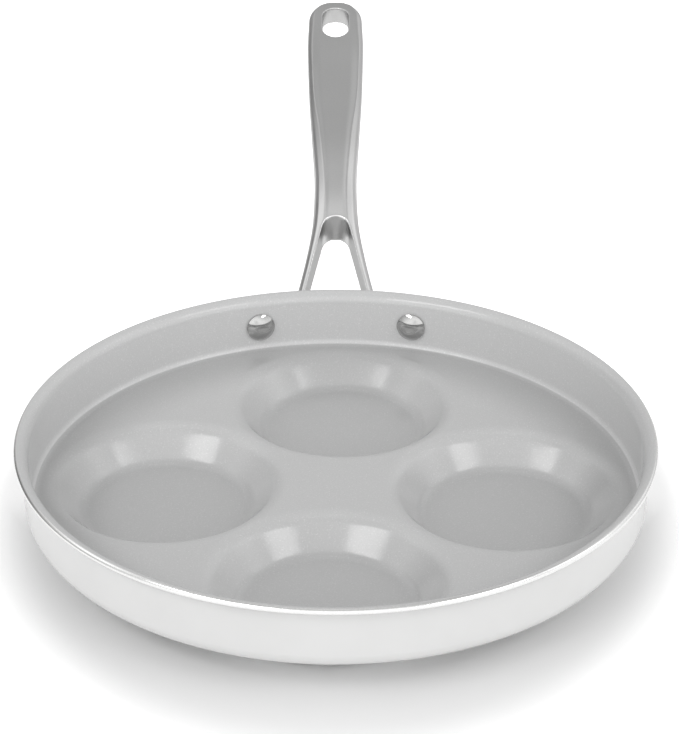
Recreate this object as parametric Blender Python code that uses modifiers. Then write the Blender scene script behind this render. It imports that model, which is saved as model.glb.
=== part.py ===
"""Egg pan: a shallow round pan with four pressed cups and a riveted, cast two-armed handle.

Units are metres and +Z is up. The pan stands on its cup feet at Z = 0 and its handle points along
+Y. The origin lies on the ground, under the middle of the whole object's bounding box.
"""

import math

import bmesh
import bpy
from mathutils import Matrix, Vector

# Body
RIM_DIAMETER = 0.260
WALL_DEPTH = 0.026
WALL_THICKNESS = 0.0024
FLOOR_THICKNESS = 0.003
INNER_CORNER_RADIUS = 0.0035
OUTER_CORNER_RADIUS = 0.007

# Pouring lip, turned outwards through a quarter circle, with a flat land at its ground edge
LIP_RADIUS = 0.005
LIP_LAND = 0.0006
LIP_EDGE_BEVEL = 0.0002

# Cups, equally spaced round the middle of the floor, each mouth merging a little with the next
CUP_COUNT = 4
CUP_TURN = math.radians(-2.5)
CUP_DEPTH = 0.0135
CUP_SIDE_RUN = 0.019
CUP_MOUTH_ROUND = 0.0085
CUP_FOOT_ROUND = 0.005
CUP_WALL = 0.0025
CUP_MOUTH_MERGE = 0.0027

# Magnetic disc let into the foot of each cup
DISC_THICKNESS = 0.0008
DISC_EDGE_BEVEL = 0.0002
FOOT_RING_WIDTH = 0.003

# Rivets
RIVET_SPACING = 0.069
RIVET_DROP = 0.0144
RIVET_SHANK_DIAMETER = 0.006
RIVET_HEAD_DIAMETER = 0.013
RIVET_HEAD_HEIGHT = 0.003
RIVET_HEAD_BAND = 0.0006
RIVET_TAIL_DIAMETER = 0.010
RIVET_TAIL_HEIGHT = 0.002
RIVET_TAIL_BEVEL = 0.0012

# Handle: how far it reaches from the wall, and its rise, steep at the root and flatter at the grip
HANDLE_REACH = 0.195
HANDLE_ROOT_LIFT = 0.001
HANDLE_ROOT_ANGLE = math.radians(37.0)
HANDLE_GRIP_ANGLE = math.radians(18.3)
HANDLE_BEND_START = 0.028
HANDLE_BEND_END = 0.066
HANDLE_TIP_ROUND = 0.0136
HANDLE_TIP_POWER = 2.4
HANDLE_TIP_THINNING = 0.18
ROOT_OVERRUN = 0.007

# Foot plate of the handle, which lies against the wall and ends in a round pad at each rivet
PLATE_THICKNESS = 0.0032
PLATE_PAD_RADIUS = 0.008

# Arch between the handle's arms
ARCH_CROWN_REACH = 0.038
ARCH_CROWN_RADIUS = 0.0068
ARCH_SPLAY = math.radians(16.5)

# Hanging hole
HOLE_WIDTH = 0.0132
HOLE_LENGTH = 0.024
HOLE_TO_TIP = 0.0058

# Handle sections. Each row is a distance, then half-width, thickness, half-width of the channel on
# top, depth of that channel, drop of the shoulder from the channel to the side, and belly power.
# The root's distances run out from the wall, the grip's run back from the tip.
ROOT_SECTIONS = (
    (0.000, 0.0208, 0.0106, 0.0158, 0.0000, 0.0018, 3.6),
    (0.012, 0.0171, 0.0106, 0.0123, 0.0000, 0.0018, 3.6),
    (0.025, 0.0136, 0.0108, 0.0088, 0.0001, 0.0019, 3.4),
    (0.038, 0.0110, 0.0110, 0.0054, 0.0004, 0.0021, 3.2),
    (0.052, 0.0102, 0.0108, 0.0044, 0.0006, 0.0024, 2.8),
    (0.067, 0.0103, 0.0106, 0.0045, 0.0007, 0.0026, 2.6),
)
GRIP_SECTIONS = (
    (0.101, 0.0117, 0.0104, 0.0056, 0.0008, 0.0028, 2.4),
    (0.075, 0.0131, 0.0102, 0.0066, 0.0008, 0.0029, 2.4),
    (0.050, 0.0139, 0.0100, 0.0074, 0.0006, 0.0028, 2.4),
    (0.033, 0.0142, 0.0099, 0.0080, 0.0002, 0.0025, 2.4),
    (0.015, 0.0138, 0.0098, 0.0084, 0.0000, 0.0022, 2.4),
    (0.000, 0.0136, 0.0097, 0.0084, 0.0000, 0.0022, 2.4),
)

# How a section's channel dips, and how its side rounds off below the shoulder, as shares
CHANNEL_INNER_SHARE = 0.6
CHANNEL_INNER_DEPTH = 0.7
SIDE_ROUND_SHARE = 0.33
SIDE_ROUND_FALL = 0.4

# Gap between pieces, and what keeps a cutter's faces off the faces that it cuts
GAP = 0.0003
CUTTER_BITE = 0.00005
CUTTER_REACH = 0.010
MERGE_DISTANCE = 0.00001

# How finely the round shapes are divided
BODY_STEPS = 80
CUP_STEPS = 40
RIVET_STEPS = 24
ARC_STEPS = 4
SMALL_ARC_STEPS = 2
OUTLINE_ARC_STEPS = 10
BELLY_STEPS = 5
HANDLE_STATIONS = 24
TIP_STATIONS = 7
TIP_SWEEP = math.radians(86.0)
SPINE_STEP = 0.001
SHARP_ANGLE = math.radians(35.0)

# Heights, from the ground
CUP_BOTTOM_Z = CUP_WALL
FLOOR_Z = CUP_BOTTOM_Z + CUP_DEPTH
FLOOR_UNDERSIDE_Z = FLOOR_Z - FLOOR_THICKNESS
RIM_Z = FLOOR_Z + WALL_DEPTH
RIVET_Z = RIM_Z - RIVET_DROP

# Radii of the body, from the pan's axis
RIM_RADIUS = RIM_DIAMETER / 2
LIP_CENTRE_RADIUS = RIM_RADIUS - LIP_LAND
WALL_INNER_RADIUS = LIP_CENTRE_RADIUS - LIP_RADIUS
WALL_OUTER_RADIUS = WALL_INNER_RADIUS + WALL_THICKNESS
PLATE_INNER_RADIUS = WALL_OUTER_RADIUS + GAP
PLATE_OUTER_RADIUS = PLATE_INNER_RADIUS + PLATE_THICKNESS

# Cups: the largest mouths that reach the wall's corner and merge with their neighbours as stated
CUP_SPACING_FACTOR = 2 * math.sin(math.pi / CUP_COUNT)
FLAT_FLOOR_RADIUS = WALL_INNER_RADIUS - INNER_CORNER_RADIUS
CUP_MOUTH_RADIUS = (
    (CUP_SPACING_FACTOR * FLAT_FLOOR_RADIUS + CUP_MOUTH_MERGE) / (2 + CUP_SPACING_FACTOR)
)
CUP_PITCH_RADIUS = FLAT_FLOOR_RADIUS - CUP_MOUTH_RADIUS
CUP_FLAT_RADIUS = CUP_MOUTH_RADIUS - CUP_SIDE_RUN
DISC_RADIUS = CUP_FLAT_RADIUS - FOOT_RING_WIDTH

# Rivets: the head's rim seats on the hollow side of the wall, the tail on the round of the plate
RIVET_ANGLE = math.asin(RIVET_SPACING / 2 / WALL_INNER_RADIUS)
RIVET_HEAD_SEAT = math.sqrt(WALL_INNER_RADIUS**2 - (RIVET_HEAD_DIAMETER / 2) ** 2) - GAP
RIVET_TAIL_SEAT = PLATE_OUTER_RADIUS + GAP

# The handle's tip tilts, so its lower edge leads; the spine ends short of the reach by that much
TIP_THICKNESS = GRIP_SECTIONS[-1][2] * (1 - HANDLE_TIP_THINNING * (1 - math.cos(TIP_SWEEP)))
TIP_LEAD = TIP_THICKNESS / 2 * math.sin(HANDLE_GRIP_ANGLE)
SPINE_REACH = HANDLE_REACH - TIP_LEAD

# The pan's axis stands back from the origin, which is under the middle of the bounding box
PAN_AXIS_Y = -(WALL_OUTER_RADIUS + HANDLE_REACH - RIM_RADIUS) / 2


def make_smoothing():
    """Return a node group that shades a mesh smooth, but for its edges above SHARP_ANGLE."""
    group = bpy.data.node_groups.new("Smooth by angle", "GeometryNodeTree")
    group.interface.new_socket("Geometry", in_out="INPUT", socket_type="NodeSocketGeometry")
    group.interface.new_socket("Geometry", in_out="OUTPUT", socket_type="NodeSocketGeometry")
    given = group.nodes.new("NodeGroupInput")
    result = group.nodes.new("NodeGroupOutput")
    angle = group.nodes.new("GeometryNodeInputMeshEdgeAngle")
    sharp = group.nodes.new("FunctionNodeCompare")
    sharp.operation = "GREATER_THAN"
    sharp.inputs["B"].default_value = SHARP_ANGLE
    faces = group.nodes.new("GeometryNodeSetShadeSmooth")
    faces.domain = "FACE"
    edges = group.nodes.new("GeometryNodeSetShadeSmooth")
    edges.domain = "EDGE"
    edges.inputs["Shade Smooth"].default_value = False
    group.links.new(given.outputs["Geometry"], faces.inputs["Geometry"])
    group.links.new(angle.outputs["Unsigned Angle"], sharp.inputs["A"])
    group.links.new(faces.outputs["Geometry"], edges.inputs["Geometry"])
    group.links.new(sharp.outputs["Result"], edges.inputs["Selection"])
    group.links.new(edges.outputs["Geometry"], result.inputs["Geometry"])
    return group


def clear_scene():
    """Remove every object, so that the script can be run again."""
    for item in list(bpy.data.objects):
        bpy.data.objects.remove(item, do_unlink=True)


def make_collection(name, parent):
    """Return a new collection linked under its parent."""
    group = bpy.data.collections.new(name)
    parent.children.link(group)
    return group


def make_material(name, colour, roughness, metallic):
    """Return a Principled material of one plain finish."""
    material = bpy.data.materials.new(name)
    material.use_nodes = True
    shader = material.node_tree.nodes["Principled BSDF"]
    shader.inputs["Base Color"].default_value = (*colour, 1.0)
    shader.inputs["Roughness"].default_value = roughness
    shader.inputs["Metallic"].default_value = metallic
    return material


def make_object(name, mesh, group, parent, material):
    """Link a mesh object to a collection, under its parent and with its material."""
    item = bpy.data.objects.new(name, mesh)
    group.objects.link(item)
    item.parent = parent
    if material:
        mesh.materials.append(material)
    return item


def make_cutter(item):
    """Mark an object as a cutter: it is drawn as wire and never rendered."""
    item.hide_render = True
    item.display_type = "WIRE"


def arc(centre_x, centre_z, radius, start, end, steps):
    """Return points on an arc; angles are measured from +X towards +Z."""
    points = []
    for step in range(steps + 1):
        angle = start + (end - start) * step / steps
        points.append((centre_x + radius * math.cos(angle), centre_z + radius * math.sin(angle)))
    return points


def turned(name, profile, steps, group, parent, material, closed=False):
    """Turn a profile about Z. It lies at +X and runs down its outer side, top to bottom."""
    mesh = bpy.data.meshes.new(name)
    vertices = [(x, 0.0, z) for x, z in profile]
    edges = [(i, i + 1) for i in range(len(profile) - 1)]
    if closed:
        edges.append((len(profile) - 1, 0))
    mesh.from_pydata(vertices, edges, [])
    item = make_object(name, mesh, group, parent, material)
    screw = item.modifiers.new("Turn", "SCREW")
    screw.axis = "Z"
    screw.steps = steps
    screw.render_steps = steps
    screw.use_merge_vertices = True
    screw.merge_threshold = MERGE_DISTANCE
    return item


def prism(name, outline, half_length, group, parent):
    """Extrude a flat outline along its own Z, both ways, and return it as a closed mesh."""
    curve = bpy.data.curves.new(name, "CURVE")
    curve.dimensions = "2D"
    curve.fill_mode = "BOTH"
    curve.extrude = half_length
    spline = curve.splines.new("POLY")
    spline.points.add(len(outline) - 1)
    for point, (x, y) in zip(spline.points, outline):
        point.co = (x, y, 0.0, 1.0)
    spline.use_cyclic_u = True
    curve_object = bpy.data.objects.new(name + "_curve", curve)
    group.objects.link(curve_object)
    graph = bpy.context.evaluated_depsgraph_get()
    mesh = bpy.data.meshes.new_from_object(curve_object.evaluated_get(graph))
    bpy.data.objects.remove(curve_object, do_unlink=True)
    work = bmesh.new()
    work.from_mesh(mesh)
    bmesh.ops.remove_doubles(work, verts=work.verts, dist=MERGE_DISTANCE)
    bmesh.ops.recalc_face_normals(work, faces=work.faces)
    work.to_mesh(mesh)
    work.free()
    return make_object(name, mesh, group, parent, None)


def cylinder(name, radius, length, steps, group, parent):
    """Return a plain cylinder centred on its own origin, along Z."""
    mesh = bpy.data.meshes.new(name)
    work = bmesh.new()
    bmesh.ops.create_cone(
        work, cap_ends=True, segments=steps, radius1=radius, radius2=radius, depth=length
    )
    work.to_mesh(mesh)
    work.free()
    return make_object(name, mesh, group, parent, None)


def cut(item, name, operation, group):
    """Add an exact Boolean of a whole collection of cutters to an object."""
    boolean = item.modifiers.new(name, "BOOLEAN")
    boolean.solver = "EXACT"
    boolean.operation = operation
    boolean.operand_type = "COLLECTION"
    boolean.collection = group
    boolean.material_mode = "TRANSFER"


def place_radially(item, angle, height):
    """Turn an object's own +Z outwards from the pan's axis, at an angle from +Y towards +X."""
    outwards = Vector((math.sin(angle), math.cos(angle), 0.0))
    item.matrix_local = (
        Matrix.Translation((0.0, 0.0, height)) @ outwards.to_track_quat("Z", "Y").to_matrix().to_4x4()
    )


def side_angle():
    """Return the slope of a cup's side, which is tangent to its mouth round and its foot round."""
    rounds = CUP_MOUTH_ROUND + CUP_FOOT_ROUND
    drop = CUP_DEPTH - rounds
    return math.asin(rounds / math.hypot(CUP_SIDE_RUN, drop)) + math.atan2(drop, CUP_SIDE_RUN)


def cup_profile(top_z, offset, lift):
    """Return a cup's profile about its own axis, offset outwards from the cup's inner surface."""
    slope = side_angle()
    upright = math.pi / 2
    profile = [(0.0, top_z), (CUP_MOUTH_RADIUS, top_z)]
    profile += arc(
        CUP_MOUTH_RADIUS, FLOOR_Z - CUP_MOUTH_ROUND + lift, CUP_MOUTH_ROUND - offset,
        upright, upright + slope, ARC_STEPS,
    )
    profile += arc(
        CUP_FLAT_RADIUS, CUP_BOTTOM_Z + CUP_FOOT_ROUND, CUP_FOOT_ROUND + offset,
        slope - upright, -upright, ARC_STEPS,
    )
    profile.append((0.0, CUP_BOTTOM_Z - offset))
    return profile


def cup_places():
    """Yield the name and the centre of each cup, the front one first, then anticlockwise."""
    names = ("front", "right", "back", "left")
    for number in range(CUP_COUNT):
        angle = -math.pi / 2 + CUP_TURN + 2 * math.pi * number / CUP_COUNT
        name = names[number] if CUP_COUNT == len(names) else str(number + 1)
        yield name, (CUP_PITCH_RADIUS * math.cos(angle), CUP_PITCH_RADIUS * math.sin(angle), 0.0)


def body_blank_profile():
    """Return the outer outline of the body: lip edge, lip underside, wall, corner and underside."""
    edge_low = RIM_Z - WALL_THICKNESS
    profile = [(0.0, RIM_Z), (RIM_RADIUS - LIP_EDGE_BEVEL, RIM_Z), (RIM_RADIUS, RIM_Z - LIP_EDGE_BEVEL)]
    profile += arc(
        LIP_CENTRE_RADIUS, edge_low + LIP_LAND, LIP_LAND, 0.0, -math.pi / 2, SMALL_ARC_STEPS
    )
    profile += arc(
        LIP_CENTRE_RADIUS, RIM_Z - LIP_RADIUS, LIP_RADIUS - WALL_THICKNESS,
        math.pi / 2, math.pi, ARC_STEPS,
    )[1:]
    profile += arc(
        WALL_OUTER_RADIUS - OUTER_CORNER_RADIUS, FLOOR_UNDERSIDE_Z + OUTER_CORNER_RADIUS,
        OUTER_CORNER_RADIUS, 0.0, -math.pi / 2, ARC_STEPS + 1,
    )
    profile.append((0.0, FLOOR_UNDERSIDE_Z))
    return profile


def body_hollow_profile():
    """Return the outline of the space inside the body, from above the rim to the floor."""
    top = RIM_Z + CUTTER_REACH
    profile = [(0.0, top), (LIP_CENTRE_RADIUS, top)]
    profile += arc(
        LIP_CENTRE_RADIUS, RIM_Z - LIP_RADIUS + CUTTER_BITE, LIP_RADIUS,
        math.pi / 2, math.pi, ARC_STEPS + 1,
    )
    profile += arc(
        FLAT_FLOOR_RADIUS, FLOOR_Z + INNER_CORNER_RADIUS, INNER_CORNER_RADIUS,
        0.0, -math.pi / 2, ARC_STEPS,
    )
    profile.append((0.0, FLOOR_Z))
    return profile


def make_rivet_drills(prefix, group, parent):
    """Make the two radial drills that bore the rivet holes through a piece."""
    length = RIVET_TAIL_SEAT - RIVET_HEAD_SEAT + CUTTER_REACH
    middle = (RIVET_TAIL_SEAT + RIVET_HEAD_SEAT) / 2
    for side, sign in (("left", -1), ("right", 1)):
        drill = cylinder(
            f"{prefix}_rivet_drill_{side}", RIVET_SHANK_DIAMETER / 2 + GAP, length, RIVET_STEPS,
            group, parent,
        )
        drill.data.transform(Matrix.Translation((0.0, 0.0, middle)))
        place_radially(drill, sign * RIVET_ANGLE, RIVET_Z)
        make_cutter(drill)


def make_body(parts, cutters, parent, enamel, ceramic):
    """Build the pressed body: blank, cups added below, hollows cut from above, then its holes."""
    body = turned("pan_body", body_blank_profile(), BODY_STEPS, parts, parent, enamel)
    blanks = make_collection("cup_blanks", cutters)
    hollows = make_collection("hollows", cutters)
    drillings = make_collection("body_drillings", cutters)

    space = turned("pan_space", body_hollow_profile(), BODY_STEPS, hollows, parent, ceramic)
    make_cutter(space)
    for name, centre in cup_places():
        blank = turned(
            f"cup_blank_{name}", cup_profile(FLOOR_Z - FLOOR_THICKNESS / 2, CUP_WALL, 0.0),
            CUP_STEPS, blanks, parent, enamel,
        )
        hollow = turned(
            f"cup_space_{name}", cup_profile(FLOOR_Z + CUTTER_REACH, 0.0, CUTTER_BITE),
            CUP_STEPS, hollows, parent, ceramic,
        )
        recess_depth = DISC_THICKNESS + GAP
        recess = cylinder(
            f"disc_recess_{name}", DISC_RADIUS + GAP, recess_depth * 2, CUP_STEPS, drillings, parent
        )
        for item in (blank, hollow, recess):
            item.location = centre
            make_cutter(item)
    make_rivet_drills("body", drillings, parent)

    cut(body, "Cups", "UNION", blanks)
    cut(body, "Hollows", "DIFFERENCE", hollows)
    cut(body, "Drillings", "DIFFERENCE", drillings)
    return body


def make_discs(parts, parent, steel):
    """Build the magnetic discs, flush with the ring of each cup's foot."""
    for name, centre in cup_places():
        disc = cylinder(f"base_disc_{name}", DISC_RADIUS, DISC_THICKNESS, CUP_STEPS, parts, parent)
        disc.data.materials.append(steel)
        disc.data.transform(Matrix.Translation((0.0, 0.0, DISC_THICKNESS / 2)))
        disc.location = centre
        bevel = disc.modifiers.new("Edge", "BEVEL")
        bevel.width = DISC_EDGE_BEVEL
        bevel.segments = 1


def make_rivets(parts, parent, steel):
    """Build the two rivets: domed head inside, shank through wall and plate, tail outside."""
    head_radius = RIVET_HEAD_DIAMETER / 2
    tail_radius = RIVET_TAIL_DIAMETER / 2
    shank_radius = RIVET_SHANK_DIAMETER / 2
    dome_height = RIVET_HEAD_HEIGHT - RIVET_HEAD_BAND
    dome_radius = (head_radius**2 + dome_height**2) / (2 * dome_height)
    dome_half_angle = math.asin(head_radius / dome_radius)
    dome_top = RIVET_HEAD_SEAT - RIVET_HEAD_HEIGHT
    tail_top = RIVET_TAIL_SEAT + RIVET_TAIL_HEIGHT

    profile = [(0.0, tail_top)]
    profile += arc(
        tail_radius - RIVET_TAIL_BEVEL, tail_top - RIVET_TAIL_BEVEL, RIVET_TAIL_BEVEL,
        math.pi / 2, 0.0, SMALL_ARC_STEPS,
    )
    profile += [(tail_radius, RIVET_TAIL_SEAT), (shank_radius, RIVET_TAIL_SEAT)]
    profile += [(shank_radius, RIVET_HEAD_SEAT), (head_radius, RIVET_HEAD_SEAT)]
    profile += arc(
        0.0, dome_top + dome_radius, dome_radius,
        dome_half_angle - math.pi / 2, -math.pi / 2, ARC_STEPS + 1,
    )
    for side, sign in (("left", -1), ("right", 1)):
        rivet = turned(f"rivet_{side}", profile, RIVET_STEPS, parts, parent, steel)
        place_radially(rivet, sign * RIVET_ANGLE, RIVET_Z)


def rise_angle(distance):
    """Return the handle's slope at a horizontal distance from the wall."""
    along = (distance - HANDLE_BEND_START) / (HANDLE_BEND_END - HANDLE_BEND_START)
    along = min(max(along, 0.0), 1.0)
    share = (1 + math.cos(math.pi * along)) / 2
    return HANDLE_GRIP_ANGLE + (HANDLE_ROOT_ANGLE - HANDLE_GRIP_ANGLE) * share


def spine_height(distance):
    """Return the height of the handle's spine, by summing its slope from the wall outwards."""
    steps = max(1, math.ceil(abs(distance) / SPINE_STEP))
    step = distance / steps
    rise = sum(math.tan(rise_angle((i + 0.5) * step)) for i in range(steps)) * step
    return RIVET_Z + HANDLE_ROOT_LIFT + rise


def section_rows():
    """Return all handle sections with their distances measured from the wall."""
    grip = [(HANDLE_REACH - row[0], *row[1:]) for row in GRIP_SECTIONS]
    return [*ROOT_SECTIONS, *grip]


def section_at(distance):
    """Interpolate the section sizes at a distance, with smooth cubic pieces between the rows."""
    rows = section_rows()
    last = len(rows) - 1
    index = 0
    while index < last - 1 and rows[index + 1][0] <= distance:
        index += 1
    low, high = rows[index], rows[index + 1]
    before, after = rows[max(index - 1, 0)], rows[min(index + 2, last)]
    span = high[0] - low[0]
    t = (distance - low[0]) / span
    sizes = []
    for column in range(1, len(low)):
        slope_low = (high[column] - before[column]) / (high[0] - before[0]) * span
        slope_high = (after[column] - low[column]) / (after[0] - low[0]) * span
        sizes.append(
            (2 * t**3 - 3 * t**2 + 1) * low[column]
            + (t**3 - 2 * t**2 + t) * slope_low
            + (3 * t**2 - 2 * t**3) * high[column]
            + (t**3 - t**2) * slope_high
        )
    return sizes


def section_outline(width, thickness, channel, depth, drop, power):
    """Return half a handle section, from the middle of its top to the middle of its belly."""
    top = thickness / 2
    shoulder = top - drop
    side_round = drop * SIDE_ROUND_SHARE
    points = [
        (0.0, top - depth),
        (channel * CHANNEL_INNER_SHARE, top - depth * CHANNEL_INNER_DEPTH),
        (channel, top),
        (width - side_round, shoulder + side_round * SIDE_ROUND_FALL),
    ]
    belly_top = shoulder - side_round
    belly_height = belly_top + thickness / 2
    for step in range(BELLY_STEPS + 1):
        angle = math.pi / 2 * step / BELLY_STEPS
        x = width * math.cos(angle) ** (2 / power)
        points.append((x, belly_top - belly_height * math.sin(angle) ** (2 / power)))
    points[-1] = (0.0, -thickness / 2)
    return points


def handle_ring(distance, width_share, thickness_share):
    """Return one closed ring of handle points, square to the spine."""
    width, thickness, channel, depth, drop, power = section_at(distance)
    half = section_outline(
        width * width_share, thickness * thickness_share, channel * width_share, depth * width_share,
        drop * thickness_share, power,
    )
    angle = rise_angle(distance)
    centre = Vector((0.0, WALL_OUTER_RADIUS + distance, spine_height(distance)))
    normal = Vector((0.0, -math.sin(angle), math.cos(angle)))
    ring = [centre + normal * z + Vector((x, 0.0, 0.0)) for x, z in half]
    ring += [centre + normal * z - Vector((x, 0.0, 0.0)) for x, z in reversed(half[1:-1])]
    return ring


def handle_rings():
    """Return the rings of the handle, from inside the wall to the rounded tip."""
    start = -ROOT_OVERRUN
    round_start = SPINE_REACH - HANDLE_TIP_ROUND
    power = 2 / HANDLE_TIP_POWER
    rings = []
    for station in range(HANDLE_STATIONS):
        distance = start + (round_start - start) * station / (HANDLE_STATIONS - 1)
        rings.append(handle_ring(distance, 1.0, 1.0))
    for station in range(1, TIP_STATIONS + 1):
        angle = TIP_SWEEP * station / TIP_STATIONS
        distance = round_start + HANDLE_TIP_ROUND * (math.sin(angle) / math.sin(TIP_SWEEP)) ** power
        thinning = 1 - HANDLE_TIP_THINNING * (1 - math.cos(angle))
        rings.append(handle_ring(distance, math.cos(angle) ** power, thinning))
    return rings


def loft(name, rings, group, parent, material):
    """Join rings of equal counts into one closed skin; the sections differ all along its length."""
    work = bmesh.new()
    loops = [[work.verts.new(point) for point in ring] for ring in rings]
    for near, far in zip(loops, loops[1:]):
        for i in range(len(near)):
            j = (i + 1) % len(near)
            work.faces.new((near[i], near[j], far[j], far[i]))
    work.faces.new(list(reversed(loops[0])))
    work.faces.new(loops[-1])
    bmesh.ops.recalc_face_normals(work, faces=work.faces)
    mesh = bpy.data.meshes.new(name)
    work.to_mesh(mesh)
    work.free()
    return make_object(name, mesh, group, parent, material)


def stadium(half_span, radius):
    """Return the outline of a slot with round ends, whose end centres lie at plus and minus X."""
    outline = arc(half_span, 0.0, radius, -math.pi / 2, math.pi / 2, OUTLINE_ARC_STEPS)
    outline += arc(-half_span, 0.0, radius, math.pi / 2, math.pi * 3 / 2, OUTLINE_ARC_STEPS)
    return outline


def arch_outline():
    """Return the opening between the arms, seen from above: a round crown and two splayed legs."""
    crown_y = WALL_OUTER_RADIUS + ARCH_CROWN_REACH - ARCH_CROWN_RADIUS
    root_y = PLATE_OUTER_RADIUS - PLATE_THICKNESS / 2
    outline = arc(
        0.0, crown_y, ARCH_CROWN_RADIUS, ARCH_SPLAY, math.pi - ARCH_SPLAY, OUTLINE_ARC_STEPS
    )
    tangent_x, tangent_y = outline[0]
    root_x = tangent_x + (tangent_y - root_y) * math.tan(ARCH_SPLAY)
    return [(root_x, root_y), *outline, (-root_x, root_y)]


def make_handle(parts, cutters, parent, steel):
    """Build the handle: lofted grip and arms, arch cut out, foot plate joined on, holes cut."""
    handle = loft("handle", handle_rings(), parts, parent, steel)
    arch_cutters = make_collection("arch_cutters", cutters)
    plates = make_collection("foot_plates", cutters)
    plate_outlines = make_collection("plate_outlines", cutters)
    handle_cutters = make_collection("handle_cutters", cutters)

    arch = prism("arch_cutter", arch_outline(), RIM_DIAMETER, arch_cutters, parent)
    make_cutter(arch)

    ring_profile = [
        (PLATE_OUTER_RADIUS, RIM_Z),
        (PLATE_OUTER_RADIUS, 0.0),
        (PLATE_INNER_RADIUS - CUTTER_BITE, 0.0),
        (PLATE_INNER_RADIUS - CUTTER_BITE, RIM_Z),
    ]
    plate = turned("foot_plate", ring_profile, BODY_STEPS, plates, parent, steel, closed=True)
    pad_x = PLATE_OUTER_RADIUS * math.sin(RIVET_ANGLE)
    outline = prism("plate_outline", stadium(pad_x, PLATE_PAD_RADIUS), RIM_RADIUS / 2,
                    plate_outlines, parent)
    outline.rotation_euler = (math.pi / 2, 0.0, 0.0)
    outline.location = (0.0, RIM_RADIUS, RIVET_Z)
    cut(plate, "Outline", "INTERSECT", plate_outlines)

    wall = cylinder("wall_clearance", PLATE_INNER_RADIUS, RIM_DIAMETER, BODY_STEPS, handle_cutters,
                    parent)
    hole_distance = SPINE_REACH - (HOLE_TO_TIP + HOLE_LENGTH / 2) * math.cos(HANDLE_GRIP_ANGLE)
    hole = prism("hanging_hole", stadium((HOLE_LENGTH - HOLE_WIDTH) / 2, HOLE_WIDTH / 2),
                 HOLE_LENGTH, handle_cutters, parent)
    hole.data.transform(Matrix.Rotation(math.pi / 2, 4, "Z"))
    hole.rotation_euler = (HANDLE_GRIP_ANGLE, 0.0, 0.0)
    hole.location = (0.0, WALL_OUTER_RADIUS + hole_distance, spine_height(hole_distance))
    make_rivet_drills("handle", handle_cutters, parent)
    for item in (plate, outline, wall, hole):
        make_cutter(item)

    cut(handle, "Arch", "DIFFERENCE", arch_cutters)
    cut(handle, "Foot plate", "UNION", plates)
    cut(handle, "Holes", "DIFFERENCE", handle_cutters)
    return handle


def main():
    """Build the whole pan."""
    clear_scene()
    parts = make_collection("Egg pan", bpy.context.scene.collection)
    cutters = make_collection("Cutters", bpy.context.scene.collection)
    pan_axis = bpy.data.objects.new("pan_axis", None)
    pan_axis.location = (0.0, PAN_AXIS_Y, 0.0)
    parts.objects.link(pan_axis)

    enamel = make_material("white_enamel", (0.80, 0.80, 0.79), 0.25, 0.0)
    ceramic = make_material("grey_ceramic", (0.46, 0.46, 0.46), 0.35, 0.0)
    cast_steel = make_material("satin_cast_steel", (0.55, 0.55, 0.54), 0.35, 1.0)
    polished_steel = make_material("polished_steel", (0.72, 0.72, 0.72), 0.12, 1.0)
    plate_steel = make_material("magnetic_steel", (0.60, 0.60, 0.60), 0.30, 1.0)

    make_body(parts, cutters, pan_axis, enamel, ceramic)
    make_discs(parts, pan_axis, plate_steel)
    make_rivets(parts, pan_axis, polished_steel)
    make_handle(parts, cutters, pan_axis, cast_steel)

    smoothing = make_smoothing()
    for item in parts.objects:
        if item.type == "MESH":
            item.modifiers.new("Smooth by angle", "NODES").node_group = smoothing


main()
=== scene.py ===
"""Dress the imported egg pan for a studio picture.

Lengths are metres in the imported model's own frame: +Z is up, the handle points along +Y, and the
origin lies on the ground under the middle of the whole object.
"""

import logging
import math
from dataclasses import dataclass
from enum import Enum
from typing import Any, Sequence

import bmesh
import bpy
import numpy as np
from mathutils import Matrix, Vector


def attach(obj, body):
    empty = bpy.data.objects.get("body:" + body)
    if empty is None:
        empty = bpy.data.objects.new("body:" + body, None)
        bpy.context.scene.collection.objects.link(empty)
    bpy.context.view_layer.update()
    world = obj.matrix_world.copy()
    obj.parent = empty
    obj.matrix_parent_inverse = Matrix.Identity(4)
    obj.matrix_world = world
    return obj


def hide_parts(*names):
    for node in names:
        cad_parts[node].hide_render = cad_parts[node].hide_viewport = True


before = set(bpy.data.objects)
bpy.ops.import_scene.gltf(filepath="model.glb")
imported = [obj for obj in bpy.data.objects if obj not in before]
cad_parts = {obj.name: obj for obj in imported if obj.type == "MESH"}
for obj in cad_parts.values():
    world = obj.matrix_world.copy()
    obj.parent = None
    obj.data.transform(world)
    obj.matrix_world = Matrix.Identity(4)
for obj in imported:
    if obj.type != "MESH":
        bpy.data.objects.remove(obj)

LOG = logging.getLogger("egg_pan")
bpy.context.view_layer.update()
ROOT_BODY = "root"
SHARP_ANGLE = math.radians(38.0)
MERGE_DISTANCE = 0.00001
SLOT_STEPS = 32
# Whole numbers closer than this are the same
WHOLE_TOLERANCE = 0.5
# Few values of a noise lie outside this range
NOISE_RANGE = (0.3, 0.7)
# The noise values at which a grain is all dark and all pale
GRAIN_RANGE = (0.35, 0.65)


class Surface(Enum):
    """The finishes on the pressed body, numbered as its faces carry them."""

    CERAMIC = 0
    BARE_METAL = 1
    ENAMEL = 2


# Node helpers


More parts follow.
